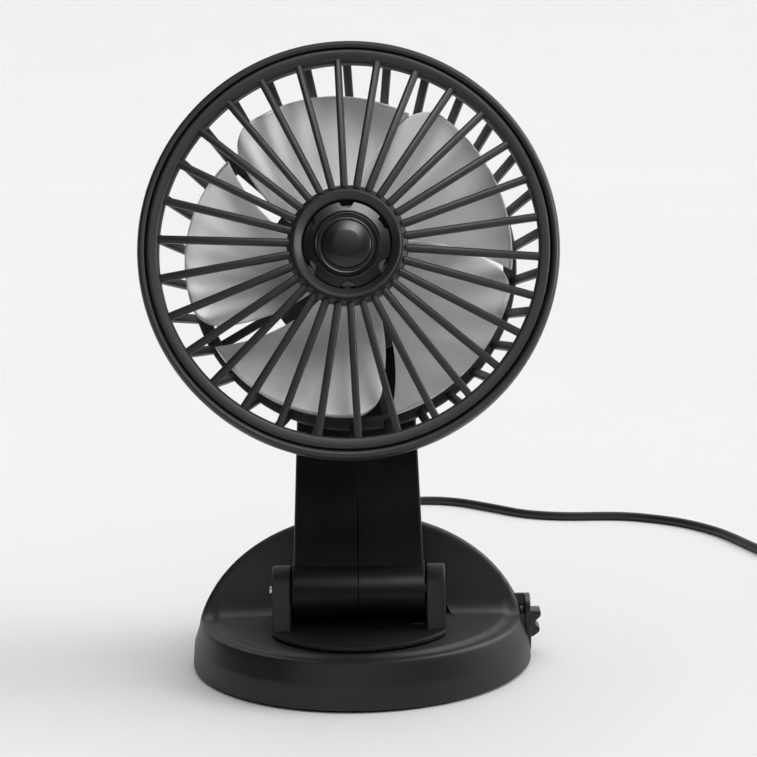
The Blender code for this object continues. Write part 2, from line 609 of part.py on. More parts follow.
def rotor():
    hub = [
        (0, 0.0034), (0.0090, 0.0036), (0.0138, 0.0050), (0.0152, 0.0070), (0.0152, 0.0290),
        (0.0136, 0.0290), (0.0136, 0.0080), (0, 0.0080),
    ]
    body = turned("rotor", ring_profile(hub), ROTOR_FRAME, PALE_PLASTIC, 30)
    bm = bmesh.new()
    columns, rows = 7, 5
    for number in range(BLADE_COUNT):
        grid = bmesh.ops.create_grid(bm, x_segments=columns, y_segments=rows, size=0.5)
        around = Matrix.Rotation(-BLADE_PHASE - 2 * math.pi * number / BLADE_COUNT, 4, "Z")
        for vertex in grid["verts"]:
            share = min(1.0, 1.0 - (0.5 - vertex.co.y) ** 1.35)
            vertex.co = around @ blade_point(share, vertex.co.x + 0.5)
    blades = mesh_object("blades", bm, ROTOR_FRAME)
    skin = blades.modifiers.new("thickness", "SOLIDIFY")
    skin.thickness = BLADE_THICKNESS
    skin.offset = 0
    join(body, blades)
    cut(body, disc("shaft_bore", SHAFT_RADIUS + GAP, depth(0.012), depth(0.0050), ROTOR_FRAME, steps=12))


def motor():
    back = REAR_RING_DEPTH - 0.0010 - GAP
    can = [(0, MOTOR_FRONT), (MOTOR_RADIUS - 0.001, MOTOR_FRONT), (MOTOR_RADIUS, MOTOR_FRONT + 0.001)]
    can += [(MOTOR_RADIUS, back), (0, back)]
    body = turned("motor", ring_profile(can), HEAD_FRAME, STEEL_METAL, 32)
    cut(body, disc("motor_bore", SHAFT_RADIUS + GAP, depth(0.0300), depth(0.0180), HEAD_FRAME, steps=12))
    collar = [(0.0030, 0.0182), (0.0030, MOTOR_FRONT - GAP), (0.0014, MOTOR_FRONT - GAP), (0.0014, 0.0182)]
    turned("motor_bearing", ring_profile(collar), HEAD_FRAME, BRASS_METAL, 20)
    shaft = (0, 0, depth(0.0295)), (0, 0, depth(0.0054))
    rod("motor_shaft", SHAFT_RADIUS, *shaft, ROTOR_FRAME, STEEL_METAL, 12)
    cut(body, head_holes("motor_screw_holes", MOTOR_SCREW_CIRCLE, 90))
    tip, under = REAR_RING_DEPTH - 0.0040, REAR_RING_DEPTH + 0.0018 + GAP
    head_screws("motor_screw", MOTOR_SCREW_CIRCLE, 90, tip, under)


def head_bracket():
    """The cup that covers the motor's screws, with the lug that tilts between the arm's two cheeks."""
    start = REAR_RING_DEPTH + 0.0018 + GAP
    flange = start + 0.0018
    cup = [
        (0, 0.0452), (0.0150, 0.0452), (0.0168, start), (0.0250, start), (0.0250, flange), (0.0186, flange),
        (0.0168, 0.0470), (0, 0.0470),
    ]
    body = turned("head_bracket", ring_profile(cup), HEAD_FRAME, MATTE_BLACK, 32)
    reach = depth(0.0462)
    join(body, box("lug_web", (2 * LUG_HALF_WIDTH, 0.0110, reach), (0, 0, reach / 2), HEAD_FRAME))
    join(body, rod("lug_eye", 0.0065, (-LUG_HALF_WIDTH, 0, 0), (LUG_HALF_WIDTH, 0, 0), HEAD_FRAME))
    cut(body, rod("lug_bore", HOLE_RADIUS, (-0.012, 0, 0), (0.012, 0, 0), HEAD_FRAME, sides=16))
    cut(body, head_holes("bracket_screw_holes", BRACKET_SCREW_CIRCLE, 30))
    head_screws("bracket_screw", BRACKET_SCREW_CIRCLE, 30, REAR_RING_DEPTH - 0.0016, flange + GAP)


def smooth_route(points, spacing):
    """Evenly spaced points on a Catmull-Rom curve through the given points, kept on top of the table."""
    knots = [Vector(point) for point in points]
    knots = [2 * knots[0] - knots[1], *knots, 2 * knots[-1] - knots[-2]]
    fine = []
    for before, start, end, after in zip(knots, knots[1:], knots[2:], knots[3:]):
        for step in range(20):
            t = step / 20
            square = 2 * before - 5 * start + 4 * end - after
            cube = 3 * start - before - 3 * end + after
            point = start + ((end - before) * t + square * t**2 + cube * t**3) / 2
            point.z = max(point.z, LEAD_RADIUS)
            fine.append(point)
    fine.append(knots[-2])
    total = sum((b - a).length for a, b in zip(fine, fine[1:]))
    count = round(total / spacing)
    result, walked = [fine[0]], 0.0
    for a, b in zip(fine, fine[1:]):
        walked += (b - a).length
        if walked >= total * len(result) / count and len(result) < count:
            result.append(b)
    return [*result, fine[-1]]


def tube(name, points, radius, parent=None, surface=None):
    curve = bpy.data.curves.new(name, "CURVE")
    curve.dimensions = "3D"
    curve.bevel_depth = radius
    curve.bevel_resolution = 2
    curve.use_fill_caps = True
    spline = curve.splines.new("POLY")
    spline.points.add(len(points) - 1)
    for point, place_at in zip(spline.points, points):
        point.co = (*place_at, 1)
    curve.materials.append(surface)
    return place(bpy.data.objects.new(name, curve), parent)


def lead():
    """The free lead: its grommet, the run on the table, the coil, the tie and the plug."""
    bore = LEAD_RADIUS + GAP
    grommet = [
        (0.0029, LEAD_COLLAR_END), (0.0034, 0.0560), (0.0045, 0.0556), (0.0045, 0.0541), (0.0029, 0.0541),
        (0.0029, 0.0505), (bore, 0.0505), (bore, LEAD_COLLAR_END),
    ]
    collar = turned("lead_grommet", grommet, None, RUBBER, 16)
    collar.matrix_local = Matrix.Translation((0, 0, LEAD_EXIT_HEIGHT)) @ BACKWARDS
    tube("power_lead", smooth_route(LEAD_ROUTE, 5 * LEAD_RADIUS), LEAD_RADIUS, None, WIRE_BLACK)
    x, y = COIL_CENTRE
    inner, outer = COIL_RADIUS - COIL_HALF_WIDTH, COIL_RADIUS + COIL_HALF_WIDTH
    coil = disc("lead_coil", outer, COIL_BOTTOM, COIL_TOP, None, WIRE_BLACK, 36, inner)
    coil.location = (x, y, 0)
    rise = COIL_TOP + GAP + TIE_THICKNESS
    width = 2 * (COIL_HALF_WIDTH + GAP)
    middle = y - COIL_RADIUS
    tie = box("lead_tie", (TIE_WIDTH, width + 2 * TIE_THICKNESS, rise), (x, middle, rise / 2), None, RUBBER)
    window = (2 * TIE_WIDTH, width + 0.0003, COIL_TOP - COIL_BOTTOM + 2 * GAP)
    cut(tie, box("tie_window", window, (x, middle, (COIL_TOP + COIL_BOTTOM) / 2)))
    plug(x + COIL_RADIUS, y + 0.0153)


def plug(x, start):
    """The plug lies beside the coil, pointing away from it along Y."""
    relief_start = start + 0.0090
    body_start = relief_start + 0.0110
    body_end = body_start + 0.0230
    tail = [(x, start, PLUG_HEIGHT), (x, relief_start - GAP, PLUG_HEIGHT)]
    tube("lead_tail", tail, LEAD_RADIUS, None, WIRE_BLACK)
    cone = [(0, 0.0110 - GAP), (0.0034, 0.0110 - GAP), (0.0024, 0), (0, 0)]
    relief = turned("plug_relief", cone, None, RUBBER, 20)
    relief.matrix_local = Matrix.Translation((x, relief_start, PLUG_HEIGHT)) @ BACKWARDS
    size = (0.0158, body_end - body_start, 2 * PLUG_HEIGHT)
    centre = (x, (body_start + body_end) / 2, PLUG_HEIGHT)
    box("plug_body", size, centre, None, MATTE_BLACK, 0.0012)
    shell_start = body_end + GAP
    shell_centre = (x, shell_start + 0.0060, PLUG_HEIGHT)
    shell = box("plug_shell", (0.0120, 0.0120, 0.0045), shell_centre, None, STEEL_METAL)
    cut(shell, box("plug_mouth", (0.0114, 0.0120, 0.0039), (x, shell_start + 0.0064, PLUG_HEIGHT)))
    tongue_centre = (x, shell_start + 0.0060, PLUG_HEIGHT + 0.0008)
    box("plug_tongue", (0.0106, 0.0100, 0.0016), tongue_centre, None, WHITE_MARK)


base_shell()
base_underside()
switch()
turntable()
arm()
rear_guard()
front_grille()
rotor()
motor()
head_bracket()
lead()
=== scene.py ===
import json
import math

import bmesh
import bpy
from mathutils import Matrix, Vector

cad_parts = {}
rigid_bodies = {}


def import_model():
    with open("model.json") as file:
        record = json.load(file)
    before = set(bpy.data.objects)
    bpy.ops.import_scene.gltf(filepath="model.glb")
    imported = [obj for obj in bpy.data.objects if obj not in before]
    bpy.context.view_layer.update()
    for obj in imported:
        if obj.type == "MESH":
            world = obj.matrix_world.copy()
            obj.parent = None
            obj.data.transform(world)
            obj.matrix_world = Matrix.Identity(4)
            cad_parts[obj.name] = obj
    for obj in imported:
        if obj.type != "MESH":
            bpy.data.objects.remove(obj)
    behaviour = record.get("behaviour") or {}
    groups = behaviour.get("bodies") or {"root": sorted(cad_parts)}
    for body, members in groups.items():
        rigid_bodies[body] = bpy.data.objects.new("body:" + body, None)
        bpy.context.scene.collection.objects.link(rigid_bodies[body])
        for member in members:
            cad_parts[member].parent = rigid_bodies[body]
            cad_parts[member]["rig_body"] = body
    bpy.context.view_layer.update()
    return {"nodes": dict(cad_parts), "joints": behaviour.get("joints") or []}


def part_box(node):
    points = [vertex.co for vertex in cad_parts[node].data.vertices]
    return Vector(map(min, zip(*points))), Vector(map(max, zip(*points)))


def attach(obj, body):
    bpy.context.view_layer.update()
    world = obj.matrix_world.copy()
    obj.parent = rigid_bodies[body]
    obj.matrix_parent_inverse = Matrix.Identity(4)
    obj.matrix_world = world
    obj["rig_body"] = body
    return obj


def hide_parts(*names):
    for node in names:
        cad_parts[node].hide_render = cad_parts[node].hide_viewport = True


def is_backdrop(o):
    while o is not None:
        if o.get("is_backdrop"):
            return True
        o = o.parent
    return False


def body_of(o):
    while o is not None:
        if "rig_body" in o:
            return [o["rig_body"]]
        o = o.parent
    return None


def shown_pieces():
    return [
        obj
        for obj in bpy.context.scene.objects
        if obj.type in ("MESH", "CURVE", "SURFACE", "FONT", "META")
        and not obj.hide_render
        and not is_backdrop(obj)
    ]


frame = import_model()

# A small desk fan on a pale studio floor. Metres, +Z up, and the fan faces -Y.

MM = 0.001
GAP = 0.3 * MM
JOINTS = {joint["name"]: joint for joint in frame["joints"]}

# Base.
DOME_RADIUS = 0.0537
DOME_SKIRT = 0.004
DOME_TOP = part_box("base_shell")[1][2]
DOME_POWER = 2.1
SHELL_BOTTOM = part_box("base_shell")[0][2]
WALL = 2.2 * MM
DECK_HEIGHT = 0.0156
HUMP_FOOT = 0.001
HUMP_SLOPE = 1 / math.tan(math.radians(29))
HUMP_FILLET = 9.5 * MM
HUMP_EDGE = 3.0 * MM
NICHE_RADIUS = 0.031
# The front of the base from the middle outwards: the deck, a step, the lip and the rounded shoulder.
FRONT_PROFILE = [
    (0.0, 15.60), (46.0, 15.60), (46.3, 15.50), (46.6, 15.34), (48.0, 14.93), (48.3, 14.88), (49.5, 14.97),
    (50.6, 15.00), (51.0, 14.95), (51.4, 14.80), (51.7, 14.50), (51.95, 14.05), (52.15, 13.60),
]
WALL_PROFILE = [(52.5, 12.5), (53.0, 11.0), (53.8, 8.7), (54.0, 8.1), (54.2, 6.0), (54.55, 2.2), (54.6, 1.6)]
FOOT_RADIUS = 54.6 * MM
SCREW_CIRCLE = 0.0483
PAD_CIRCLE = 0.034
# A cutter that is open upwards or outwards ends this far out, which is past every piece of the base.
CLEAR_OF_BASE = 0.06

# Screws.
SCREW_SHANK = 1.1 * MM
SCREW_POINT = 1.0 * MM
THREAD_PITCH = 0.5 * MM
THREAD_DEPTH = 0.18 * MM

# Switch.
ROCKER_AXIS = Vector(JOINTS["rocker_tip"]["pos_m"])
SWITCH_Y = ROCKER_AXIS.y
SWITCH_HEIGHT = ROCKER_AXIS.z
SWITCH_RADIUS = 0.0094
SWITCH_CAN_RADIUS = 0.0064
SWITCH_FACE = ROCKER_AXIS.x + 1.0 * MM
SWITCH_WINDOW = (7.2 * MM, 10.0 * MM)
SWITCH_POCKET_DEPTH = 4.2 * MM
BOSS_START = 0.0425
BEZEL_THICKNESS = 1.8 * MM

# Turntable and arm.
HINGE = Vector(JOINTS["arm_lean"]["pos_m"])
TURN_RADIUS = 0.030
TURN_TOP = 0.0173
EAR_INNER = 0.0212
EAR_OUTER = 0.0272
EAR_TOP_RADIUS = 0.0080
PIN_RADIUS = 1.5 * MM
TILT = Vector(JOINTS["head_tilt"]["pos_m"])
ARM_LENGTH = (TILT - HINGE).length
ARM_HALF_THICKNESS = 0.006
BARREL_HALF_WIDTH = 0.0208
BARREL_RADIUS = 0.0094
ARM_TOP_HALF_WIDTH = 0.0172
KNUCKLE_RADIUS = 0.0075
SLOT_HALF_WIDTH = 0.0082
SLOT_FOOT = ARM_LENGTH - 0.0095
LUG_HALF_WIDTH = 0.0078
ARM_SCREW_HEIGHTS = (0.047, 0.0845)
SEAM = 0.15 * MM

# Head: distances are measured back from the front face of the grille's rim.
FACE = 0.059
RIB_COUNT = 30
RIB_WIDTH = 2.2 * MM
BAR_WIDTH = 2.6 * MM
GRILLE_TURN = math.radians(-2.3)
MOUNT_RADIUS = 0.0275
REAR_RING_DEPTH = 0.0395
BLADE_COUNT = 5
BLADE_RADIUS = 0.0493
BLADE_ROOT = 0.0145
BLADE_FRONT = 0.0085
BLADE_BACK = 0.0265
BLADE_SPAN = math.radians(67)
BLADE_SWEEP = math.radians(0.6) / MM
BLADE_STRAIGHT_RADIUS = 0.034
BLADE_CAMBER = 1.6 * MM
BLADE_THICKNESS = 1.4 * MM
BLADE_CORNER = 6 * MM
BLADE_PHASE = math.radians(18.2)
MOTOR_RADIUS = 0.0120
MOTOR_FRONT = 0.0200
MOTOR_BACK = REAR_RING_DEPTH - 1.3 * MM
MOTOR_SCREW_CIRCLE = 7.5 * MM
BRACKET_SCREW_CIRCLE = 21.8 * MM
BRACKET_DEPTH = REAR_RING_DEPTH + 2.1 * MM
HEAD_SCREW_RADIUS = 2.3 * MM
HEAD_SCREW_HEIGHT = 1.4 * MM
NOTCH_RADIUS = 2.3 * MM
NOTCH_CIRCLE = 13.2 * MM

# Lead: out of the back of the base, along the table, into a coil with its plug beside it.
LEAD_RADIUS = 1.7 * MM
LEAD_EXIT_HEIGHT = 0.0090
LEAD_ROUTE = [
    (0.0000, 0.0500, LEAD_EXIT_HEIGHT), (0.0000, 0.0660, LEAD_EXIT_HEIGHT), (0.0000, 0.0760, 0.0078),
    (-0.0002, 0.0870, 0.0042), (-0.0008, 0.0990, LEAD_RADIUS), (-0.0028, 0.1250, LEAD_RADIUS),
    (-0.0060, 0.1500, LEAD_RADIUS), (-0.0085, 0.1740, LEAD_RADIUS), (-0.0056, 0.1965, LEAD_RADIUS),
    (0.0060, 0.2106, LEAD_RADIUS), (0.0208, 0.2146, LEAD_RADIUS), (0.0348, 0.2106, LEAD_RADIUS),
    (0.0488, 0.1994, LEAD_RADIUS), (0.0622, 0.1880, LEAD_RADIUS), (0.0776, 0.1828, LEAD_RADIUS),
    (0.0993, 0.1816, LEAD_RADIUS), (0.1129, 0.1764, LEAD_RADIUS), (0.1256, 0.1669, LEAD_RADIUS),
    (0.1371, 0.1511, LEAD_RADIUS), (0.1474, 0.1257, LEAD_RADIUS), (0.1560, 0.1030, LEAD_RADIUS),
    (0.1600, 0.0880, LEAD_RADIUS), (0.1605, 0.0700, LEAD_RADIUS),
]
LEAD_EXIT = (0.0, 0.0600, LEAD_EXIT_HEIGHT)
COIL_CENTRE = (0.1856, 0.0700)
COIL_INNER = 17.7 * MM
COIL_OUTER = 21.3 * MM
COIL_ROWS = (1.8 * MM, 5.3 * MM, 8.8 * MM)
COIL_STEP = 15
PLUG_HEIGHT = 0.0041
PLUG_X = 0.2051


def frame_at(origin, up):
    """A place whose Z points along `up`, and whose X stays the CAD's."""
    z = Vector(up).normalized()
    x = Vector((1, 0, 0))
    y = z.cross(x)
    return Matrix.Translation(origin) @ Matrix((x, y, z)).transposed().to_4x4()


BASE = Matrix.Identity(4)
TURNTABLE = Matrix.Translation((HINGE.x, HINGE.y, 0))
ARM = frame_at(HINGE, TILT - HINGE)
HEAD = frame_at(TILT, JOINTS["rotor_spin"]["axis"])
SWITCH = Matrix.Translation((0, SWITCH_Y, SWITCH_HEIGHT))
# BACKWARDS turns what is modelled along +Z to point along +Y, and ACROSS to point along +X. SIDEWAYS stands
# an outline in XY up in YZ, and UPRIGHT stands it up in XZ.
BACKWARDS = Matrix.Rotation(math.radians(-90), 4, "X")
ACROSS = Matrix.Rotation(math.radians(90), 4, "Y")
SIDEWAYS = Matrix(((0, 0, 1, 0), (1, 0, 0, 0), (0, 1, 0, 0), (0, 0, 0, 1)))
UPRIGHT = Matrix.Rotation(math.radians(90), 4, "X")


# ---- materials

def surface(name, roughness, metallic=0.0, specular=0.5):
    """A new material and its shader, with the numbers that are the same all over."""
    material = bpy.data.materials.new(name)
    material.use_nodes = True
    shader = material.node_tree.nodes["Principled BSDF"]
    shader.inputs["Roughness"].default_value = roughness
    shader.inputs["Metallic"].default_value = metallic
    shader.inputs["Specular IOR Level"].default_value = specular
    return material, shader


def noise_texture(tree, scale, detail=3.0, stretch=None):
    """Noise in the object's own coordinates, which are metres. `stretch` scales the axes apart."""
    place = tree.nodes.new("ShaderNodeTexCoord").outputs["Object"]
    texture = tree.nodes.new("ShaderNodeTexNoise")
    texture.inputs["Scale"].default_value = scale
    texture.inputs["Detail"].default_value = detail
    if stretch:
        mapping = tree.nodes.new("ShaderNodeMapping")
        mapping.inputs["Scale"].default_value = stretch
        tree.links.new(place, mapping.inputs["Vector"])
        place = mapping.outputs["Vector"]
    tree.links.new(place, texture.inputs["Vector"])
    return texture.outputs["Fac"]


def vary_colour(tree, shader, factor, dark, light):
    """Colour between two shades, by a factor that lies mostly between 0.3 and 0.7."""
    ramp = tree.nodes.new("ShaderNodeValToRGB")
    ramp.color_ramp.elements[0].position = 0.3
    ramp.color_ramp.elements[0].color = (*dark, 1)
    ramp.color_ramp.elements[1].position = 0.7
    ramp.color_ramp.elements[1].color = (*light, 1)
    tree.links.new(factor, ramp.inputs["Fac"])
    tree.links.new(ramp.outputs["Color"], shader.inputs["Base Color"])


def vary_roughness(tree, shader, factor, low, high):
    """Roughness between two values, by a factor that lies mostly between 0.3 and 0.7."""
    spread = tree.nodes.new("ShaderNodeMapRange")
    spread.inputs["From Min"].default_value = 0.3
    spread.inputs["From Max"].default_value = 0.7
    spread.inputs["To Min"].default_value = low
    spread.inputs["To Max"].default_value = high
    tree.links.new(factor, spread.inputs["Value"])
    tree.links.new(spread.outputs["Result"], shader.inputs["Roughness"])


def roughen(tree, shader, factor, relief):
    """Fine bumps, `relief` high."""
    bump = tree.nodes.new("ShaderNodeBump")
    bump.inputs["Distance"].default_value = relief
    bump.inputs["Strength"].default_value = 1.0
    tree.links.new(factor, bump.inputs["Height"])
    tree.links.new(bump.outputs["Normal"], shader.inputs["Normal"])


def grained(name, dark, light, low, high, grain, relief, metallic=0.0, specular=0.5):
    """Moulded or cast stuff: colour and roughness drift slowly, over a fine grain."""
    material, shader = surface(name, (low + high) / 2, metallic, specular)
    tree = material.node_tree
    slow = noise_texture(tree, 60.0)
    vary_colour(tree, shader, slow, dark, light)
    vary_roughness(tree, shader, slow, low, high)
    roughen(tree, shader, noise_texture(tree, grain, 2.0), relief)
    return material, shader


def matte_black():
    return grained("matte_black", (0.0085,) * 3, (0.0110,) * 3, 0.42, 0.50, 2600.0, 0.000012)[0]


# A darker copy of the matte black: painted shade for the head's shadow on the arm.
def arm_shaded_black():
    return grained("arm_shaded_black", (0.0026,) * 3, (0.0034,) * 3, 0.40, 0.46, 2600.0, 0.000008, 0.0, 0.22)[0]


def satin_black():
    return grained("satin_black", (0.006,) * 3, (0.008,) * 3, 0.27, 0.34, 1800.0, 0.000004)[0]


def pale_grey():
    material, shader = grained(
        "pale_grey", (0.80, 0.81, 0.82), (0.85, 0.86, 0.87), 0.30, 0.38, 1500.0, 0.000004
    )
    shader.inputs["Subsurface Weight"].default_value = 0.15
    shader.inputs["Subsurface Radius"].default_value = (0.002, 0.002, 0.002)
    return material


def bright_steel():
    material, shader = surface("bright_steel", 0.28, 1.0)
    tree = material.node_tree
    drawn = noise_texture(tree, 220.0, 4.0, (1.0, 14.0, 14.0))
    vary_colour(tree, shader, drawn, (0.48, 0.48, 0.49), (0.64, 0.64, 0.66))
    vary_roughness(tree, shader, drawn, 0.20, 0.36)
    return material


def brass():
    return grained("brass", (0.52, 0.36, 0.13), (0.66, 0.47, 0.19), 0.26, 0.40, 900.0, 0.000004, 1.0)[0]


def black_rubber():
    return grained("black_rubber", (0.012,) * 3, (0.020,) * 3, 0.70, 0.86, 3200.0, 0.00002, 0.0, 0.35)[0]


def board_green():
    return grained("board_green", (0.012, 0.085, 0.035), (0.02, 0.13, 0.05), 0.34, 0.5, 700.0, 0.000006)[0]


def cable_jacket():
    return grained("cable_jacket", (0.014,) * 3, (0.020,) * 3, 0.36, 0.46, 1400.0, 0.000008)[0]


def white_plastic():
    return grained("white_plastic", (0.70,) * 3, (0.76,) * 3, 0.38, 0.48, 1200.0, 0.000004)[0]


def paper_floor():
    material, shader = surface("paper_floor", 0.75, 0.0, 0.2)
    tree = material.node_tree
    vary_colour(tree, shader, noise_texture(tree, 3.0), (0.865,) * 3, (0.875,) * 3)
    return material


SURFACES = {
    "matte_black_plastic": matte_black(),
    "satin_black_plastic": satin_black(),
    "pale_grey_plastic": pale_grey(),
    "bright_steel": bright_steel(),
    "brass": brass(),
    "black_rubber": black_rubber(),
    "circuit_board_green": board_green(),
    "cable_jacket": cable_jacket(),
    "white_plastic": white_plastic(),
}
# The arm gets a darker and less glossy black than the rest. This is painted shade: it matches how dark the
# head's shadow makes the arm look. Whether its plastic really differs isn't known.
ARM_SHADED_SURFACE = arm_shaded_black()


# ---- shape helpers

def rounded(points, radius, closed=False, steps=3):
    """The same outline with each corner rounded, by at most `radius` along its edges."""
    points = [Vector(point) for point in points]
    result = []
    for number, corner in enumerate(points):
        if not closed and number in (0, len(points) - 1):
            result.append(corner)
            continue
        into = points[number - 1] - corner
        out = points[(number + 1) % len(points)] - corner
        start = corner + into.normalized() * min(radius, 0.45 * into.length)
        end = corner + out.normalized() * min(radius, 0.45 * out.length)
        for step in range(steps + 1):
            t = step / steps
            result.append(start * (1 - t) ** 2 + corner * 2 * t * (1 - t) + end * t**2)
    return result


def arc(centre, radius, start, end, steps):
    """Points on an arc, with angles in degrees from +X towards +Y."""
    for step in range(steps + 1):
        angle = math.radians(start + (end - start) * step / steps)
        yield centre[0] + radius * math.cos(angle), centre[1] + radius * math.sin(angle)


def circle(centre, radius, steps=64):
    return list(arc(centre, radius, 0, 360 - 360 / steps, steps - 1))


def rectangle(centre, width, height, radius):
    x, y = centre
    corners = [(-1, -1), (1, -1), (1, 1), (-1, 1)]
    outline = [(x + i * width / 2, y + j * height / 2) for i, j in corners]
    return rounded(outline, radius, True, 6)


def skin(bm, rings, closed):
    """Faces between rings of the same number of points. A ring may be one point repeated."""
    pairs = list(zip(rings, rings[1:]))
    if closed:
        pairs.append((rings[-1], rings[0]))
    for upper, lower in pairs:
        for index in range(len(upper)):
            after = (index + 1) % len(upper)
            corners = [upper[index], lower[index], lower[after], upper[after]]
            corners = list(dict.fromkeys(corners))
            if len(corners) > 2:
                bm.faces.new(corners)
    bmesh.ops.recalc_face_normals(bm, faces=bm.faces)


def lathe(profile, steps=96):
    """A profile of (radius, height) points turned about Z. It is closed unless it starts on the axis."""
    bm = bmesh.new()
    rings = []
    for radius, height in profile:
        if radius < 0.01 * MM:
            rings.append([bm.verts.new((0, 0, height))] * steps)
            continue
        angles = [2 * math.pi * step / steps for step in range(steps)]
        rings.append([bm.verts.new((radius * math.cos(a), radius * math.sin(a), height)) for a in angles])
    skin(bm, rings, profile[0][0] > 0.01 * MM)
    return bm


def slab(outlines, half_thickness, edge):
    """A flat plate in XY with rounded edges. The first outline is its outside, and the others are holes."""
    curve = bpy.data.curves.new("outline", "CURVE")
    curve.dimensions = "2D"
    curve.fill_mode = "BOTH"
    curve.extrude = half_thickness - edge
    curve.bevel_depth = edge
    curve.bevel_resolution = 3
    curve.offset = -edge
    for outline in outlines:
        spline = curve.splines.new("POLY")
        spline.points.add(len(outline) - 1)
        for point, (x, y) in zip(spline.points, outline):
            point.co = (x, y, 0, 1)
        spline.use_cyclic_u = True
    guide = bpy.data.objects.new("outline", curve)
    bm = solid_of(guide)
    bmesh.ops.remove_doubles(bm, verts=bm.verts, dist=0.001 * MM)
    return bm


def solid_of(obj):
    """The evaluated mesh of a helper object, which is then removed."""
    bpy.context.scene.collection.objects.link(obj)
    bpy.context.view_layer.update()
    mesh = bpy.data.meshes.new_from_object(obj.evaluated_get(bpy.context.evaluated_depsgraph_get()))
    bm = bmesh.new()
    bm.from_mesh(mesh)
    bpy.data.meshes.remove(mesh)
    bpy.data.objects.remove(obj)
    return bm


def helper_object(bm):
    mesh = bpy.data.meshes.new("helper")
    bm.to_mesh(mesh)
    bm.free()
    return bpy.data.objects.new("helper", mesh)


def carved(bm, *cutters):
    """A mesh with closed cutter meshes taken away from it."""
    body = helper_object(bm)
    tools = []
    for cutter in cutters:
        tool = helper_object(cutter)
        bpy.context.scene.collection.objects.link(tool)
        boolean = body.modifiers.new("cut", "BOOLEAN")
        boolean.operation = "DIFFERENCE"
        boolean.object = tool
        tools.append(tool)
    result = solid_of(body)
    for tool in tools:
        bpy.data.objects.remove(tool)
    return result


def moved(bm, matrix):
    bmesh.ops.transform(bm, matrix=matrix, verts=bm.verts)
    return bm


def merged(*parts):
    """Several meshes in one."""
    whole = bmesh.new()
    for part in parts:
        mesh = bpy.data.meshes.new("part")
        part.to_mesh(mesh)
        part.free()
        whole.from_mesh(mesh)
        bpy.data.meshes.remove(mesh)
    return whole


def block(size, centre, edge=0.0):
    bm = bmesh.new()
    bmesh.ops.create_cube(bm, size=1.0, matrix=Matrix.Translation(centre) @ Matrix.Diagonal((*size, 1)))
    if edge:
        bmesh.ops.bevel(bm, geom=bm.edges[:], offset=edge, segments=3, profile=0.5, affect="EDGES")
    return bm


def crossbar(radius, start, end, edge, steps=64):
    """A round bar along X from `start` to `end`, with rounded ends."""
    profile = rounded([(0, start), (radius, start), (radius, end), (0, end)], edge)
    return moved(lathe(profile, steps), ACROSS)


def drill(radius, start, steps=96):
    """A round cutter along Z, from `start` to past the base."""
    return lathe([(0, start), (radius, start), (radius, CLEAR_OF_BASE), (0, CLEAR_OF_BASE)], steps)


def spokes(count, turn, inner, outer, width, thickness, edge):
    """Rounded straight bars from an inner to an outer (radius, distance) point, evenly round the axis."""
    start = Vector((0, inner[0], depth(inner[1])))
    end = Vector((0, outer[0], depth(outer[1])))
    along = end - start
    tilt = Matrix.Rotation(math.atan2(along.z, along.y), 4, "X")
    bars = []
    for number in range(count):
        around = Matrix.Rotation(-turn - 2 * math.pi * number / count, 4, "Z")
        bar = block((width, along.length, thickness), (0, 0, 0), edge)
        bars.append(moved(bar, around @ Matrix.Translation((start + end) / 2) @ tilt))
    return merged(*bars)


def add(name, bm, place, body, slot, *stands_for, sharp=32):
    """Makes a piece of a mesh and moves it to `place`. Edges sharper than `sharp` degrees stay crisp."""
    moved(bm, place)
    mesh = bpy.data.meshes.new(name)
    bm.to_mesh(mesh)
    bm.free()
    mesh.shade_smooth()
    mesh.set_sharp_from_angle(angle=math.radians(sharp))
    piece = bpy.data.objects.new(name, mesh)
    bpy.context.scene.collection.objects.link(piece)
    return dress(piece, body, slot, *stands_for)


def dress(piece, body, slot, *stands_for):
    """Sets a piece's finish and the body that it rides on, and hides the CAD nodes that it stands for."""
    piece.data.materials.append(SURFACES[slot])
    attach(piece, body)
    if stands_for:
        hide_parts(*stands_for)
    return piece


def soften(piece, width):
    """Bevels a piece's sharp edges with a modifier."""
    edge = piece.modifiers.new("edge", "BEVEL")
    edge.width = width
    edge.segments = 2
    edge.limit_method = "ANGLE"
    edge.angle_limit = math.radians(50)


def depth(distance):
    """The height along the fan's axis of a point so far behind the rim's front face."""
    return FACE - distance


def place_round(radius, degrees):
    """A place at a radius from Z, at an angle from +X towards +Y."""
    turn = math.radians(degrees)
    return Matrix.Translation((radius * math.cos(turn), radius * math.sin(turn), 0))


def size_and_middle(node):
    """The size and the middle of a CAD node's box."""
    low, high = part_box(node)
    return [b - a for a, b in zip(low, high)], [(a + b) / 2 for a, b in zip(low, high)]


# ---- camera and lights

LENS = 101.5
CAMERA_PLACE = (0.0229, -0.6672, 0.21035)
CAMERA_RIGHT = Vector((0.99957, 0.01970, -0.02148))
CAMERA_UP = Vector((0.01773, 0.17440, 0.98452))
CAMERA_FORWARD = Vector((-0.02314, 0.98448, -0.17397))

# The world's brightest side, and how bright it is there.
WORLD_TOP = Vector((0.45, 0.45, 0.77))
WORLD_GLOW = 0.62

# The floor is flat to FLOOR_REACH on three sides, and it curves up to FLOOR_TOP behind the fan.
FLOOR_REACH = 14.0
FLOOR_BEND = 12.0
FLOOR_TOP = 14.0

# The wall round the floor, and how pale it is.
WALL_RADIUS = 13.9
WALL_HEIGHT = 8.0
WALL_WHITE = 0.87

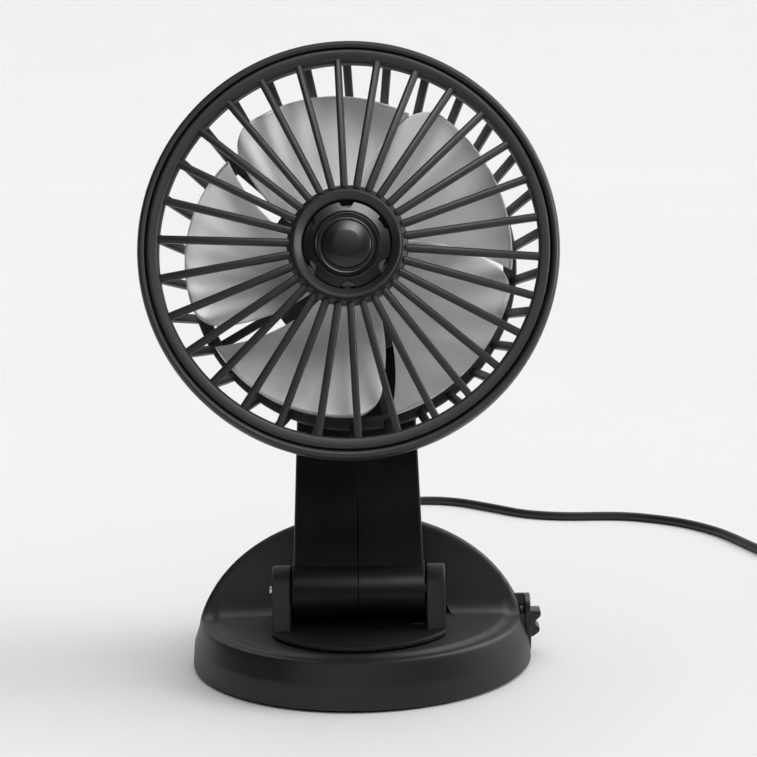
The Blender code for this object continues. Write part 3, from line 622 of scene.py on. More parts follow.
# Each wide sun: its name, the way to it, its power, how wide it is in degrees, and the bodies that it
# lights. "floor" stands for the sheet under the fan. They are split by body to match how bright each part
# looks, so they aren't one real set of lamps.
SUNS = [
    ("sun_right", (0.72, 0.38, 0.58), 1.30, 40, ("base", "turntable", "arm", "head", "rotor", "rocker")),
    ("sun_front_top", (0.12, -0.63, 0.77), 1.90, 24, ("arm", "head")),
    ("sun_rotor", (0.30, -0.55, 0.77), 2.00, 24, ("rotor",)),
    ("sun_back", (0.22, 0.60, 0.77), 1.10, 50, ("base", "rocker")),
    ("sun_low_front", (-0.15, -0.80, 0.58), 0.60, 60, ("base", "turntable")),
    ("sun_low_right", (0.95, -0.22, 0.22), 1.60, 20, ("head",)),
    ("sun_shadow", (0.82, -0.08, 0.56), 1.25, 40, ("floor",)),
    ("sun_floor", (0.00, -0.22, 0.97), 1.55, 100, ("floor",)),
]


def camera():
    """The view: from in front, a little to the right of the fan and above it."""
    data = bpy.data.cameras.new("camera")
    data.lens = LENS
    data.sensor_width = 36.0
    data.clip_start = 0.01
    data.clip_end = 200.0
    turn = Matrix((CAMERA_RIGHT, CAMERA_UP, -CAMERA_FORWARD)).transposed().to_4x4()
    view = bpy.data.objects.new("camera", data)
    view.matrix_world = Matrix.Translation(CAMERA_PLACE) @ turn
    bpy.context.scene.collection.objects.link(view)
    bpy.context.scene.camera = view


def world_light():
    """A pale room that is brightest above and to the right, and dark behind the camera."""
    world = bpy.data.worlds.new("studio")
    world.use_nodes = True
    tree = world.node_tree
    direction = tree.nodes.new("ShaderNodeTexCoord").outputs["Generated"]
    facing = tree.nodes.new("ShaderNodeVectorMath")
    facing.operation = "DOT_PRODUCT"
    facing.inputs[1].default_value = WORLD_TOP.normalized()
    tree.links.new(direction, facing.inputs[0])
    glow = tree.nodes.new("ShaderNodeMapRange")
    glow.interpolation_type = "SMOOTHSTEP"
    glow.inputs["From Min"].default_value = 0.1
    glow.inputs["From Max"].default_value = 1.0
    glow.inputs["To Min"].default_value = 0.0
    glow.inputs["To Max"].default_value = WORLD_GLOW
    tree.links.new(facing.outputs["Value"], glow.inputs["Value"])
    tree.links.new(glow.outputs["Result"], tree.nodes["Background"].inputs["Strength"])
    tree.nodes["Background"].inputs["Color"].default_value = (1.0, 1.0, 1.0, 1)
    bpy.context.scene.world = world
    bpy.context.scene.view_settings.view_transform = "Standard"


def suns():
    for name, way, power, width, bodies in SUNS:
        sun = bpy.data.lights.new(name, "SUN")
        sun.energy = power
        sun.angle = math.radians(width)
        light = bpy.data.objects.new(name, sun)
        light.rotation_euler = (-Vector(way)).to_track_quat("-Z", "Y").to_euler()
        bpy.context.scene.collection.objects.link(light)
        light.light_linking.receiver_collection = lit_by(name, bodies)


def lit_by(name, bodies):
    """A collection of the pieces on these bodies, which a light falls on."""
    receivers = bpy.data.collections.new(name + "_receivers")
    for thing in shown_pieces():
        if set(body_of(thing) or []) & set(bodies):
            receivers.objects.link(thing)
    if "floor" in bodies:
        receivers.objects.link(bpy.data.objects["floor_sheet"])
    return receivers


def stage(name, bm, material):
    mesh = bpy.data.meshes.new(name)
    bm.to_mesh(mesh)
    bm.free()
    mesh.shade_smooth()
    mesh.materials.append(material)
    thing = bpy.data.objects.new(name, mesh)
    bpy.context.scene.collection.objects.link(thing)
    thing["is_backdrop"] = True
    return thing


def floor():
    """A seamless sheet: flat under the fan, and curving up far behind it."""
    bm = bmesh.new()
    flat_end = FLOOR_REACH - FLOOR_BEND
    profile = [(-FLOOR_REACH, 0.0), (-1.0, 0.0), (0.0, 0.0), (1.0, 0.0), (flat_end, 0.0)]
    profile += arc((flat_end, FLOOR_BEND), FLOOR_BEND, -90, 0, 24)
    profile += [(FLOOR_REACH, FLOOR_TOP)]
    columns = (-FLOOR_REACH, -1.0, 1.0, FLOOR_REACH)
    rows = [[bm.verts.new((x, y, z)) for x in columns] for y, z in profile]
    for near, far in zip(rows, rows[1:]):
        for index in range(len(near) - 1):
            bm.faces.new((near[index], near[index + 1], far[index + 1], far[index]))
    stage("floor_sheet", bm, paper_floor())


def glowing_white():
    material = bpy.data.materials.new("far_wall_white")
    material.use_nodes = True
    tree = material.node_tree
    tree.nodes.clear()
    glow, output = tree.nodes.new("ShaderNodeEmission"), tree.nodes.new("ShaderNodeOutputMaterial")
    glow.inputs["Color"].default_value = (WALL_WHITE, WALL_WHITE, WALL_WHITE, 1)
    tree.links.new(glow.outputs["Emission"], output.inputs["Surface"])
    return material


def far_wall():
    """A pale wall round the floor, for the views that look past its edge. Only the camera sees it."""
    bm = bmesh.new()
    foot = [bm.verts.new((x, y, -WALL_HEIGHT)) for x, y in circle((0, 0), WALL_RADIUS, 96)]
    top = [bm.verts.new((x, y, WALL_HEIGHT)) for x, y in circle((0, 0), WALL_RADIUS, 96)]
    for index in range(len(foot)):
        bm.faces.new((foot[index - 1], foot[index], top[index], top[index - 1]))
    wall = stage("far_wall", bm, glowing_white())
    wall.visible_diffuse = wall.visible_glossy = wall.visible_transmission = wall.visible_shadow = False


# ---- lead

def smooth(share):
    """A share from 0 to 1, eased at both ends."""
    return share * share * (3 - 2 * share)


def curve_through(points, spacing):
    """Evenly spaced points on a Catmull-Rom curve through the given points, kept on top of the table."""
    knots = [Vector(point) for point in points]
    knots = [2 * knots[0] - knots[1], *knots, 2 * knots[-1] - knots[-2]]
    result = []
    for before, start, end, after in zip(knots, knots[1:], knots[2:], knots[3:]):
        steps = max(1, round((end - start).length / spacing))
        for step in range(steps):
            t = step / steps
            square = 2 * before - 5 * start + 4 * end - after
            cube = 3 * start - before - 3 * end + after
            point = start + ((end - before) * t + square * t**2 + cube * t**3) / 2
            point.z = max(point.z, LEAD_RADIUS)
            result.append(point)
    return [*result, knots[-2]]


# Each change of the coil's (radius, height): the angles in degrees that it takes, and what it goes to.
COIL_CHANGES = [
    (180, 300, COIL_INNER, COIL_ROWS[0]), (550, 595, COIL_INNER, COIL_ROWS[1]),
    (910, 955, COIL_INNER, COIL_ROWS[2]), (1210, 1260, COIL_OUTER, COIL_ROWS[2]),
    (1520, 1565, COIL_OUTER, COIL_ROWS[1]),
]
COIL_END = 1800


def coil_point(angle):
    """The lead's middle in the coil: up the inner column of turns, then down the outer one."""
    radius = COIL_CENTRE[0] - LEAD_ROUTE[-1][0]
    height = LEAD_ROUTE[-1][2]
    for start, end, next_radius, next_height in COIL_CHANGES:
        share = smooth(min(1.0, max(0.0, (angle - start) / (end - start))))
        radius += (next_radius - radius) * share
        height += (next_height - height) * share
    turn = math.radians(angle)
    x, y = COIL_CENTRE
    return Vector((x + radius * math.cos(turn), y + radius * math.sin(turn), height))


def lead_points():
    """The lead's middle line: its route, its coil, and the short tail into the plug."""
    points = curve_through(LEAD_ROUTE, 4 * MM)
    first = 180 + COIL_STEP
    points += [coil_point(angle) for angle in range(first, COIL_END + 1, COIL_STEP)]
    left = points[-1]
    points.append(Vector((left.x - 0.1 * MM, left.y + 6 * MM, COIL_ROWS[1])))
    points.append(Vector((PLUG_X + 0.7 * MM, left.y + 13 * MM, 4.6 * MM)))
    points.append(Vector((PLUG_X, left.y + 20 * MM, PLUG_HEIGHT)))
    points.append(Vector((PLUG_X, left.y + 25.5 * MM, PLUG_HEIGHT)))
    return points


def lead():
    curve = bpy.data.curves.new("lead", "CURVE")
    curve.dimensions = "3D"
    curve.bevel_depth = LEAD_RADIUS
    curve.bevel_resolution = 5
    curve.use_fill_caps = True
    points = lead_points()
    spline = curve.splines.new("POLY")
    spline.points.add(len(points) - 1)
    for point, place in zip(spline.points, points):
        point.co = (*place, 1)
    cord = bpy.data.objects.new("lead", curve)
    bpy.context.scene.collection.objects.link(cord)
    dress(cord, "base", "cable_jacket", "power_lead", "lead_coil", "lead_tail")
    lead_tie()
    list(plug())
    grommet()


def grommet():
    """The strain relief in the back of the base."""
    bore = LEAD_RADIUS + 0.1 * MM
    flange, collar, end = 54.1 * MM, 55.6 * MM, LEAD_EXIT[1]
    profile = [
        (2.9 * MM, end), (3.4 * MM, collar + 0.4 * MM), (4.5 * MM, collar), (4.5 * MM, flange),
        (2.9 * MM, flange), (2.9 * MM, 50.5 * MM), (bore, 50.5 * MM), (bore, end),
    ]
    sleeve = lathe(rounded(profile, 0.4 * MM, True), 48)
    place = Matrix.Translation((0, 0, LEAD_EXIT_HEIGHT)) @ BACKWARDS
    add("grommet", sleeve, place, "base", "black_rubber", "lead_grommet")


def lead_tie():
    """A flat strap round one side of the coil."""
    (length, width, height), middle = size_and_middle("lead_tie")
    outside = rectangle((0, 0), width, height, 1.6 * MM)
    inside = rectangle((0, 0), width - 1.0 * MM, height - 1.0 * MM, 1.2 * MM)
    strap = slab([outside, inside], length / 2, 0.15 * MM)
    place = Matrix.Translation(middle) @ SIDEWAYS
    return add("tie_strap", strap, place, "base", "black_rubber", "lead_tie")


def plug_relief():
    """A cone of rubber ribs where the lead enters the plug."""
    low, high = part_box("plug_relief")
    length = high[1] - low[1]
    groove = 0.45 * MM
    outline = [(0, 0), (2.3 * MM, 0)]
    for rib in range(5):
        at = (rib + 0.5) * length / 5.5
        wide = (2.4 + 0.9 * rib / 4) * MM
        outline += [(wide, at), (wide, at + 1.1 * MM)]
        outline += [(wide - groove, at + 1.3 * MM), (wide - groove, at + 1.8 * MM)]
    outline += [(3.35 * MM, length - 0.3 * MM), (3.35 * MM, length), (0, length)]
    place = Matrix.Translation((PLUG_X, low[1], PLUG_HEIGHT)) @ BACKWARDS
    cone = lathe(rounded(outline, 0.2 * MM), 40)
    return add("relief", cone, place, "base", "black_rubber", "plug_relief")


def plug():
    """The pieces of the plug, from its strain relief to its tongue."""
    relief = plug_relief()

    size, middle = size_and_middle("plug_body")
    grip = slab([rectangle((0, 0), size[0], size[2], 2.4 * MM)], size[1] / 2, 0.9 * MM)
    place = Matrix.Translation(middle) @ BACKWARDS
    body = add("plug_grip", grip, place, "base", "matte_black_plastic", "plug_body")

    size, middle = size_and_middle("plug_shell")
    outside = rectangle((0, 0), size[0], size[2], 0.5 * MM)
    inside = rectangle((0, 0), size[0] - 0.6 * MM, size[2] - 0.6 * MM, 0.3 * MM)
    sleeve = slab([outside, inside], size[1] / 2, 0.08 * MM)
    place = Matrix.Translation(middle) @ BACKWARDS
    shell = add("plug_sleeve", sleeve, place, "base", "bright_steel", "plug_shell")

    tongue = block(*size_and_middle("plug_tongue"), 0.25 * MM)
    return relief, body, shell, add("tongue", tongue, BASE, "base", "white_plastic", "plug_tongue")


# ---- base

def along(profile, radius):
    """The height of a profile in millimetres at a radius in metres."""
    radius /= MM
    for (start, low), (end, high) in zip(profile, profile[1:]):
        if radius <= end:
            return (low + (high - low) * (radius - start) / (end - start)) * MM
    return profile[-1][1] * MM


def smooth_max(a, b, blend):
    """The larger of two values, rounded over where they are within `blend` of each other."""
    return max(a, b) + max(blend - abs(a - b), 0) ** 2 / (4 * blend)


def shell_height(x, y):
    """The top of the base: a dome, scooped out in front down to the deck and the lip round it."""
    radius = math.hypot(x, y)
    share = max(0.0, 1 - (radius / DOME_RADIUS) ** 2) ** (1 / DOME_POWER)
    dome = DOME_SKIRT + (DOME_TOP - DOME_SKIRT) * share
    front = along(FRONT_PROFILE, radius)
    hump = DECK_HEIGHT + (y - HUMP_FOOT) * HUMP_SLOPE
    return -smooth_max(-dome, -smooth_max(front, hump, HUMP_FILLET), HUMP_EDGE)


def in_niche(x, y):
    """Whether a point is over or beside the round pocket that the turntable lies in."""
    return math.hypot(x - HINGE.x, y - HINGE.y) < NICHE_RADIUS + WALL


def inside_height(x, y):
    """The underside of the shell's top, which stays below the turntable's pocket."""
    top = shell_height(x, y)
    return (min(top, DECK_HEIGHT) if in_niche(x, y) else top) - WALL


def level(height):
    """The same height everywhere."""
    return lambda x, y: height


def shell_mesh():
    """The shell as rings from the middle of its top, over the edge, and back to the middle of its inside."""
    steps, inside_radius = 288, 51.4 * MM
    bm = bmesh.new()
    outer = [1.15 * MM * number for number in range(1, 40)]
    outer += [radius * MM for radius, _ in FRONT_PROFILE[1:]]
    inner = [radius for radius in outer if radius < 51.0 * MM][::-3]
    angles = [2 * math.pi * step / steps for step in range(steps)]
    directions = [(math.cos(angle), math.sin(angle)) for angle in angles]

    def round_at(radius, height):
        points = [(radius * c, radius * s) for c, s in directions]
        return [bm.verts.new((x, y, height(x, y))) for x, y in points]

    rings = [[bm.verts.new((0, 0, shell_height(0, 0)))] * steps]
    rings += [round_at(radius, shell_height) for radius in outer]
    rings += [round_at(radius * MM, level(height * MM)) for radius, height in WALL_PROFILE]
    rings.append(round_at(FOOT_RADIUS, level(SHELL_BOTTOM + 0.3 * MM)))
    rings.append(round_at(FOOT_RADIUS - 0.3 * MM, level(SHELL_BOTTOM)))
    for height in (SHELL_BOTTOM, 0.006, 0.010):
        rings.append(round_at(inside_radius, level(height)))
    rings += [round_at(radius, inside_height) for radius in inner]
    rings.append([bm.verts.new((0, 0, DECK_HEIGHT - WALL))] * steps)
    skin(bm, rings, False)
    return bm


def base():
    """The shell, with the turntable's pocket, the bezel's seat and the switch's hole cut out of it."""
    niche = moved(drill(NICHE_RADIUS, DECK_HEIGHT - 0.1 * MM, 192), TURNTABLE)
    seat = moved(drill(SWITCH_RADIUS + GAP, SWITCH_FACE - GAP), SWITCH @ ACROSS)
    hole = moved(drill(SWITCH_CAN_RADIUS + GAP, 0.03), SWITCH @ ACROSS)
    shell = carved(shell_mesh(), niche, seat, hole)
    add("shell", shell, BASE, "base", "matte_black_plastic", "base_shell", sharp=40)


def switch_boss():
    """The tube behind the bezel, cut away in front where the deck is scooped out."""
    bore, end = SWITCH_CAN_RADIUS + GAP, SWITCH_FACE - 0.05 * MM
    tube = [(SWITCH_RADIUS, BOSS_START), (SWITCH_RADIUS, end), (bore, end), (bore, BOSS_START)]
    boss = moved(lathe(rounded(tube, 0.1 * MM, True), 96), SWITCH @ ACROSS)
    lip, top, front = FRONT_PROFILE[5][1] * MM, CLEAR_OF_BASE, -0.07
    scoop = [(front, lip), (HUMP_FOOT, lip), (HUMP_FOOT + (top - lip) / HUMP_SLOPE, top), (front, top)]
    boss = carved(boss, moved(slab([scoop], 0.065, 0), SIDEWAYS))
    add("switch_boss", boss, BASE, "base", "matte_black_plastic", "base_shell")


def underside():
    """The bottom plate with its four rubber pads and four screws."""
    low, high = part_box("base_plate")
    radius = (high[0] - low[0]) / 2
    profile = rounded([(0, low[2]), (radius, low[2]), (radius, high[2]), (0, high[2])], 0.4 * MM)
    add("bottom_plate", lathe(profile, 144), BASE, "base", "matte_black_plastic", "base_plate")
    for number in range(4):
        node = f"foot_pad_{number + 1}"
        low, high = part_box(node)
        radius = (high[0] - low[0]) / 2
        profile = [(0, low[2]), (radius - 0.6 * MM, low[2]), (radius, low[2] + 0.5 * MM)]
        profile += [(radius, high[2]), (0, high[2])]
        pad = lathe(rounded(profile, 0.2 * MM), 48)
        add(f"pad_{number + 1}", pad, place_round(PAD_CIRCLE, 90 * number), "base", "black_rubber", node)
    for number in range(4):
        place = place_round(SCREW_CIRCLE, 45 + 90 * number)
        screw(f"base_screw_{number + 1}", place, "base", 11.8 * MM, 2.7 * MM, 1.8 * MM, 2.6 * MM)


def screw(node, place, body, tip, under, end, head_radius):
    """A screw that points up, from the heights of its tip and both sides of its head, with a cross in it."""
    length = tip - under - SCREW_POINT
    turns = round(length / THREAD_PITCH)
    profile = [(0, tip), (0.5 * MM, tip - 0.1 * MM), (SCREW_SHANK, tip - 0.9 * MM)]
    for turn in range(turns):
        at = tip - SCREW_POINT - (turn + 0.5) * length / turns
        profile += [(SCREW_SHANK, at + 0.12 * MM), (SCREW_SHANK - THREAD_DEPTH, at)]
    profile += [(SCREW_SHANK, under), (head_radius, under), (head_radius, (under + end) / 2)]
    profile += [(0.75 * head_radius, end + 0.12 * (under - end)), (0.4 * head_radius, end), (0, end)]
    long, wide, deep = 1.3 * head_radius, 0.5 * MM, 1.2 * (under - end)
    cross = [block(size, (0, 0, end)) for size in ((long, wide, deep), (wide, long, deep))]
    add(node + "_piece", carved(lathe(profile, 36), *cross), place, body, "bright_steel", node)


def switch():
    """The round bezel with its window, the housing behind it with a pocket, and the rocker."""
    centre = (SWITCH_Y, SWITCH_HEIGHT)
    window = rectangle(centre, *SWITCH_WINDOW, 0.5 * MM)
    bezel = slab([circle(centre, SWITCH_RADIUS, 96), window], BEZEL_THICKNESS / 2, 0.3 * MM)
    place = Matrix.Translation((SWITCH_FACE + BEZEL_THICKNESS / 2, 0, 0)) @ SIDEWAYS
    add("bezel", bezel, place, "base", "satin_black_plastic", "switch_body")
    start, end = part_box("switch_body")[0][0], SWITCH_FACE - 0.1 * MM
    can = moved(crossbar(SWITCH_CAN_RADIUS, start, end, 0.3 * MM), SWITCH)
    long = 10 * MM
    pocket = block((long, *SWITCH_WINDOW), (SWITCH_FACE - SWITCH_POCKET_DEPTH + long / 2, *centre))
    add("switch_can", carved(can, pocket), BASE, "base", "satin_black_plastic", "switch_body")
    rocker_key()


def rocker_key():
    """The rocker, from its outline in millimetres across its axis, with a hollow between its two lobes."""
    outline = [
        (-4.3, -2.0), (4.3, -2.0), (4.3, 3.4), (2.7, 5.7), (1.3, 5.9), (0.3, 4.4), (-1.0, 4.5),
        (-2.6, 6.2), (-4.3, 6.2),
    ]
    outline = rounded([(x * MM, y * MM) for x, y in outline], 0.6 * MM, True, 4)
    # The outline's X runs down, and its Y out of the base.
    stand = Matrix(((0, 1, 0, 0), (0, 0, -1, 0), (-1, 0, 0, 0), (0, 0, 0, 1)))
    place = Matrix.Translation(ROCKER_AXIS) @ stand
    key = slab([outline], 3.3 * MM, 0.35 * MM)
    add("rocker_key", key, place, "rocker", "satin_black_plastic", "switch_rocker")


# ---- turntable and arm

def turntable():
    """A thin plate with two upright ears, and the pin that the arm turns on."""
    bottom = DECK_HEIGHT + GAP
    edge = math.degrees(math.acos(EAR_OUTER / TURN_RADIUS))
    outline = list(arc((0, 0), TURN_RADIUS, edge, 180 - edge, 96))
    outline += arc((0, 0), TURN_RADIUS, 180 + edge, 360 - edge, 96)
    wire_slot = rectangle((18.3 * MM, -6.5 * MM), 5.0 * MM, 3.2 * MM, 0.6 * MM)
    plate = slab([outline, wire_slot], (TURN_TOP - bottom) / 2, 0.25 * MM)
    lift = Matrix.Translation((0, 0, (TURN_TOP + bottom) / 2))
    add("turntable_plate", plate, TURNTABLE @ lift, "turntable", "matte_black_plastic", "turntable")
    outline = [(-12.5 * MM, 16.4 * MM), (12.5 * MM, 16.4 * MM)]
    outline += arc((0, HINGE.z), EAR_TOP_RADIUS, 10, 170, 40)
    for name, side in (("left", -1), ("right", 1)):
        ear = slab([rounded(outline, 0.6 * MM, True)], (EAR_OUTER - EAR_INNER) / 2, 0.6 * MM)
        place = TURNTABLE @ Matrix.Translation((side * (EAR_INNER + EAR_OUTER) / 2, 0, 0)) @ SIDEWAYS
        add(f"ear_{name}", ear, place, "turntable", "matte_black_plastic", "turntable")
    profile = [(0, 12.9 * MM), (3.8 * MM, 12.9 * MM), (3.8 * MM, 16.5 * MM), (0, 16.5 * MM)]
    boss = lathe(rounded(profile, 0.2 * MM), 48)
    add("turntable_boss", boss, TURNTABLE, "turntable", "matte_black_plastic", "turntable")
    pin = crossbar(PIN_RADIUS, -EAR_OUTER - 1.3 * MM, EAR_OUTER - 0.6 * MM, 0.4 * MM, 40)
    add("pivot_pin", pin, Matrix.Translation(HINGE), "turntable", "bright_steel", "hinge_pin")
    screw("turntable_screw", TURNTABLE, "turntable", 15.7 * MM, 11.3 * MM, 9.5 * MM, 2.9 * MM)


def arm_half_width(height):
    """Half the arm's width, at a height above the hinge along it."""
    return BARREL_HALF_WIDTH + (ARM_TOP_HALF_WIDTH - BARREL_HALF_WIDTH) * height / ARM_LENGTH


def arm_half(name, side):
    """One moulded half: a narrowing panel between the hinge's barrel and a knuckle beside the head's lug.
    It is made past the arm's middle, and then cut off beside it and closed, which leaves a fine seam."""
    over = -3 * MM
    outline = [
        (over, 0), (arm_half_width(0), 0), (ARM_TOP_HALF_WIDTH, ARM_LENGTH),
        (SLOT_HALF_WIDTH, ARM_LENGTH), (SLOT_HALF_WIDTH, SLOT_FOOT), (over, SLOT_FOOT),
    ]
    panel = moved(slab([outline], ARM_HALF_THICKNESS, 1.2 * MM), UPRIGHT)
    barrel = crossbar(BARREL_RADIUS, over, BARREL_HALF_WIDTH, 0.5 * MM, 96)
    knuckle = crossbar(KNUCKLE_RADIUS, SLOT_HALF_WIDTH, ARM_TOP_HALF_WIDTH, 0.5 * MM, 80)
    half = merged(panel, barrel, moved(knuckle, Matrix.Translation((0, 0, ARM_LENGTH))))
    everything = half.verts[:] + half.edges[:] + half.faces[:]
    seam = bmesh.ops.bisect_plane(
        half, geom=everything, plane_co=(SEAM, 0, 0), plane_no=(-1, 0, 0), clear_outer=True
    )
    bmesh.ops.holes_fill(half, edges=[e for e in seam["geom_cut"] if isinstance(e, bmesh.types.BMEdge)])
    if side < 0:
        half = moved(half, Matrix.Rotation(math.radians(180), 4, "Z"))
    piece = add(f"arm_half_{name}", half, ARM, "arm", "matte_black_plastic", f"arm_{name}")
    # The arm's darker black is painted shade.
    piece.data.materials[0] = ARM_SHADED_SURFACE


def arm():
    """The two halves, and the screws that close them, each in a shallow cup."""
    arm_half("left", -1)
    arm_half("right", 1)
    for number, height in enumerate(ARM_SCREW_HEIGHTS, 1):
        place = ARM @ Matrix.Translation((0, 0, height)) @ Matrix.Rotation(math.radians(-90), 4, "Y")
        screw(f"arm_screw_{number}", place, "arm", 9.0 * MM, -13.2 * MM, -15.2 * MM, 2.5 * MM)
        inner, outer = 2.9 * MM, 3.3 * MM
        low, high = arm_half_width(height) - 0.5 * MM, arm_half_width(height) + 0.05 * MM
        cup = [(inner, high), (outer, high), (outer, low), (inner, low)]
        rim = lathe(rounded(cup, 0.1 * MM, True), 40)
        place = ARM @ Matrix.Translation((0, 0, height)) @ ACROSS
        add(f"screw_cup_{number}", rim, place, "arm", "matte_black_plastic")


# ---- head

def add_ring(name, points, edge, node, steps):
    """A ring of the head with rounded edges, from (radius, distance) points in millimetres."""
    points = [(radius * MM, depth(distance * MM)) for radius, distance in points]
    band = lathe(rounded(points, edge * MM, True), steps)
    add(name, band, HEAD, "head", "matte_black_plastic", node)


def rear_guard():
    """The rear half of the guard: rim, side bars, rear ring and bars, and the disc that holds the motor."""
    rim = [
        (60.0, 0.6), (61.2, 0.0), (62.1, 0.7), (62.5, 2.2), (62.5, 8.5), (61.6, 12.5), (58.6, 12.5),
        (56.6, 9.0), (56.6, 5.2), (60.0, 5.2),
    ]
    add_ring("guard_rim", rim, 0.5, "rear_guard", 180)
    near, far = REAR_RING_DEPTH - 1.0 * MM, REAR_RING_DEPTH + 1.8 * MM
    rear = [(51.2, near / MM), (51.2, far / MM), (47.0, far / MM), (47.0, near / MM)]
    add_ring("rear_ring", rear, 0.8, "rear_guard", 144)
    profile = [(0, depth(near)), (MOUNT_RADIUS, depth(near)), (MOUNT_RADIUS, depth(far)), (0, depth(far))]
    mount = lathe(rounded(profile, 0.6 * MM), 96)
    add("motor_mount", mount, HEAD, "head", "matte_black_plastic", "rear_guard")
    bar_depth = REAR_RING_DEPTH + 0.4 * MM
    start, end = (49.9 * MM, bar_depth), (59.6 * MM, 10.5 * MM)
    side_bars = spokes(RIB_COUNT, 0, start, end, BAR_WIDTH, 2.4 * MM, 0.6 * MM)
    add("side_bars", side_bars, HEAD, "head", "matte_black_plastic", "rear_guard")
    start, end = (26.2 * MM, bar_depth), (48.2 * MM, bar_depth)
    rear_bars = spokes(RIB_COUNT // 2, 0, start, end, BAR_WIDTH, 2.2 * MM, 0.6 * MM)
    add("rear_bars", rear_bars, HEAD, "head", "matte_black_plastic", "rear_guard")


def front_grille():
    """The grille that snaps into the guard: its rim, its hub ring and the ribs between them."""
    rim = [(56.6, 0.2), (59.1, 0.0), (59.7, 0.7), (59.7, 4.6), (57.2, 4.6), (56.0, 1.2)]
    add_ring("grille_rim", rim, 0.5, "front_grille", 180)
    hub = [
        (15.5, -7.0), (16.1, -6.6), (16.4, -4.0), (17.8, -3.3), (17.9, -0.8), (12.0, -0.8), (12.0, -2.0),
        (13.2, -2.0), (13.2, -5.2),
    ]
    add_ring("hub_ring", hub, 0.35, "front_grille", 120)
    start, end = (16.5 * MM, -2.6 * MM), (57.5 * MM, 2.2 * MM)
    ribs = spokes(RIB_COUNT, GRILLE_TURN, start, end, RIB_WIDTH, 3.2 * MM, 0.7 * MM)
    add("ribs", ribs, HEAD, "head", "matte_black_plastic", "front_grille")


def hub_cap():
    """The satin cap in the middle of the grille, with notches round its edge."""
    profile = [
        (0, -7.4), (4.0, -7.2), (7.0, -6.4), (7.4, -5.2), (8.5, -5.2), (9.2, -6.0), (9.8, -4.8),
        (12.9, -4.4), (12.9, -2.3), (0, -2.3),
    ]
    profile = [(radius * MM, depth(distance * MM)) for radius, distance in profile]
    notches = []
    for number in range(6):
        turn = math.radians(60 * number)
        cutter = lathe([(0, -0.005), (NOTCH_RADIUS, -0.005), (NOTCH_RADIUS, 0.005), (0, 0.005)], 32)
        place = (NOTCH_CIRCLE * math.sin(turn), NOTCH_CIRCLE * math.cos(turn), depth(-0.004))
        notches.append(moved(cutter, Matrix.Translation(place)))
    cap = carved(lathe(rounded(profile, 0.35 * MM), 144), *notches)
    add("cap", cap, HEAD, "head", "satin_black_plastic", "hub_cap")


def blade_point(across, along_it):
    """A point on a blade's middle surface. Shares run from 0 to 1: from the root to the tip, and from the
    front edge, anticlockwise from the viewer, to the back edge."""
    radius = BLADE_ROOT + (BLADE_RADIUS - BLADE_ROOT) * across
    corner = max(0.0, 1 - (BLADE_RADIUS - radius) / BLADE_CORNER)
    trim = BLADE_CORNER * (1 - math.sqrt(1 - corner**2)) / radius
    angle = BLADE_SWEEP * (radius - BLADE_STRAIGHT_RADIUS) + trim + (BLADE_SPAN - trim) * along_it
    camber = BLADE_CAMBER * math.sin(math.pi * along_it)
    distance = BLADE_FRONT + (BLADE_BACK - BLADE_FRONT) * along_it - camber
    return Vector((radius * math.sin(angle), radius * math.cos(angle), depth(distance)))


def blades():
    """The blades as curved sheets, thickened and with soft edges."""
    columns, rows = 28, 26
    whole = bmesh.new()
    for number in range(BLADE_COUNT):
        around = Matrix.Rotation(-BLADE_PHASE - 2 * math.pi * number / BLADE_COUNT, 4, "Z")
        grid = bmesh.ops.create_grid(whole, x_segments=columns, y_segments=rows, size=0.5)
        for vertex in grid["verts"]:
            # The rows lie closer together at the tip, where the blade's corners are round.
            share = min(1.0, 1.0 - (0.5 - vertex.co.y) ** 1.35)
            vertex.co = around @ blade_point(share, vertex.co.x + 0.5)
    piece = add("blades", whole, HEAD, "rotor", "pale_grey_plastic", "rotor", sharp=60)
    thick = piece.modifiers.new("thickness", "SOLIDIFY")
    thick.thickness = BLADE_THICKNESS
    thick.offset = 0
    soften(piece, 0.45 * MM)


def rotor():
    """The rotor's hub, a cup open at the back, and its blades."""
    hub = [(0, 3.4), (9.0, 3.6), (13.8, 5.0), (15.2, 7.0), (15.2, 29.0), (13.6, 29.0), (13.6, 8.0), (0, 8.0)]
    profile = [(radius * MM, depth(distance * MM)) for radius, distance in hub]
    add("rotor_hub", lathe(rounded(profile, 0.8 * MM), 96), HEAD, "rotor", "pale_grey_plastic", "rotor")
    blades()


def head_screws(name, circle_radius, first_turn, tip, under):
    """Three screws that point forwards, from the distances of their tips and of their heads' front sides."""
    end = under + HEAD_SCREW_HEIGHT
    for number in range(3):
        place = HEAD @ place_round(circle_radius, first_turn + 120 * number)
        node = f"{name}_{number + 1}"
        screw(node, place, "head", depth(tip), depth(under), depth(end), HEAD_SCREW_RADIUS)


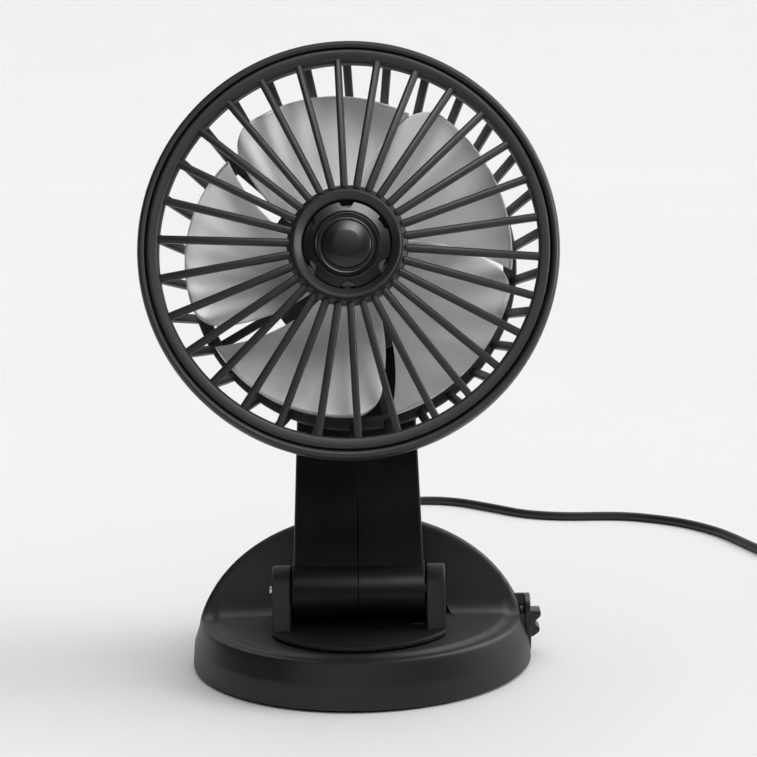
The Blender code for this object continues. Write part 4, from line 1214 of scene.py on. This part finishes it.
def motor():
    """The motor's can, and the screws that hold it to the guard."""
    front, back = depth(MOTOR_FRONT), depth(MOTOR_BACK)
    profile = [(0, front), (MOTOR_RADIUS, front), (MOTOR_RADIUS, back), (0, back)]
    can = lathe(rounded(profile, 1.0 * MM), 72)
    add("motor_can", can, HEAD, "head", "bright_steel", "motor")
    head_screws("motor_screw", MOTOR_SCREW_CIRCLE, 90, REAR_RING_DEPTH - 4.0 * MM, BRACKET_DEPTH)


def head_bracket():
    """The cup over the motor's screws, with the lug that tilts between the arm's two cheeks."""
    flange = BRACKET_DEPTH + 1.8 * MM
    cup = [
        (0, 45.2 * MM), (15.0 * MM, 45.2 * MM), (16.8 * MM, BRACKET_DEPTH), (25.0 * MM, BRACKET_DEPTH),
        (25.0 * MM, flange), (18.6 * MM, flange), (16.8 * MM, 47.0 * MM), (0, 47.0 * MM),
    ]
    cup = lathe(rounded([(radius, depth(distance)) for radius, distance in cup], 0.6 * MM), 96)
    reach = depth(46.0 * MM)
    outline = list(arc((0, 0), 6.5 * MM, 90, 270, 32))
    outline += [(reach, -5.5 * MM), (reach, 5.5 * MM)]
    # The outline's X runs forwards along the fan's axis, and its Y up the arm.
    stand = Matrix(((0, 0, 1, 0), (0, 1, 0, 0), (1, 0, 0, 0), (0, 0, 0, 1)))
    lug = moved(slab([outline], LUG_HALF_WIDTH, 0.5 * MM), stand)
    bmesh.ops.recalc_face_normals(lug, faces=lug.faces)
    add("bracket", merged(cup, lug), HEAD, "head", "matte_black_plastic", "head_bracket")
    head_screws("bracket_screw", BRACKET_SCREW_CIRCLE, 30, REAR_RING_DEPTH - 1.6 * MM, flange + GAP)


# ---- what shows of the CAD itself

def inner_parts():
    """The parts that nothing above stands for keep their own shape, with softened edges and a finish."""
    kept = {
        "bright_steel": ("base_weight", "motor_shaft", "tilt_pin", "turntable_washer"),
        "brass": ("hinge_sleeve", "motor_bearing", "switch_terminal_1", "switch_terminal_2"),
        "circuit_board_green": ("circuit_board",),
        "satin_black_plastic": ("board_capacitor",),
    }
    for slot, nodes in kept.items():
        for node in nodes:
            part = frame["nodes"][node]
            part.data.materials.clear()
            part.data.materials.append(SURFACES[slot])
            soften(part, 0.15 * MM)


camera()
lead()
floor()
far_wall()
base()
switch_boss()
underside()
switch()
turntable()
arm()
rear_guard()
front_grille()
hub_cap()
rotor()
motor()
head_bracket()
inner_parts()
world_light()
suns()
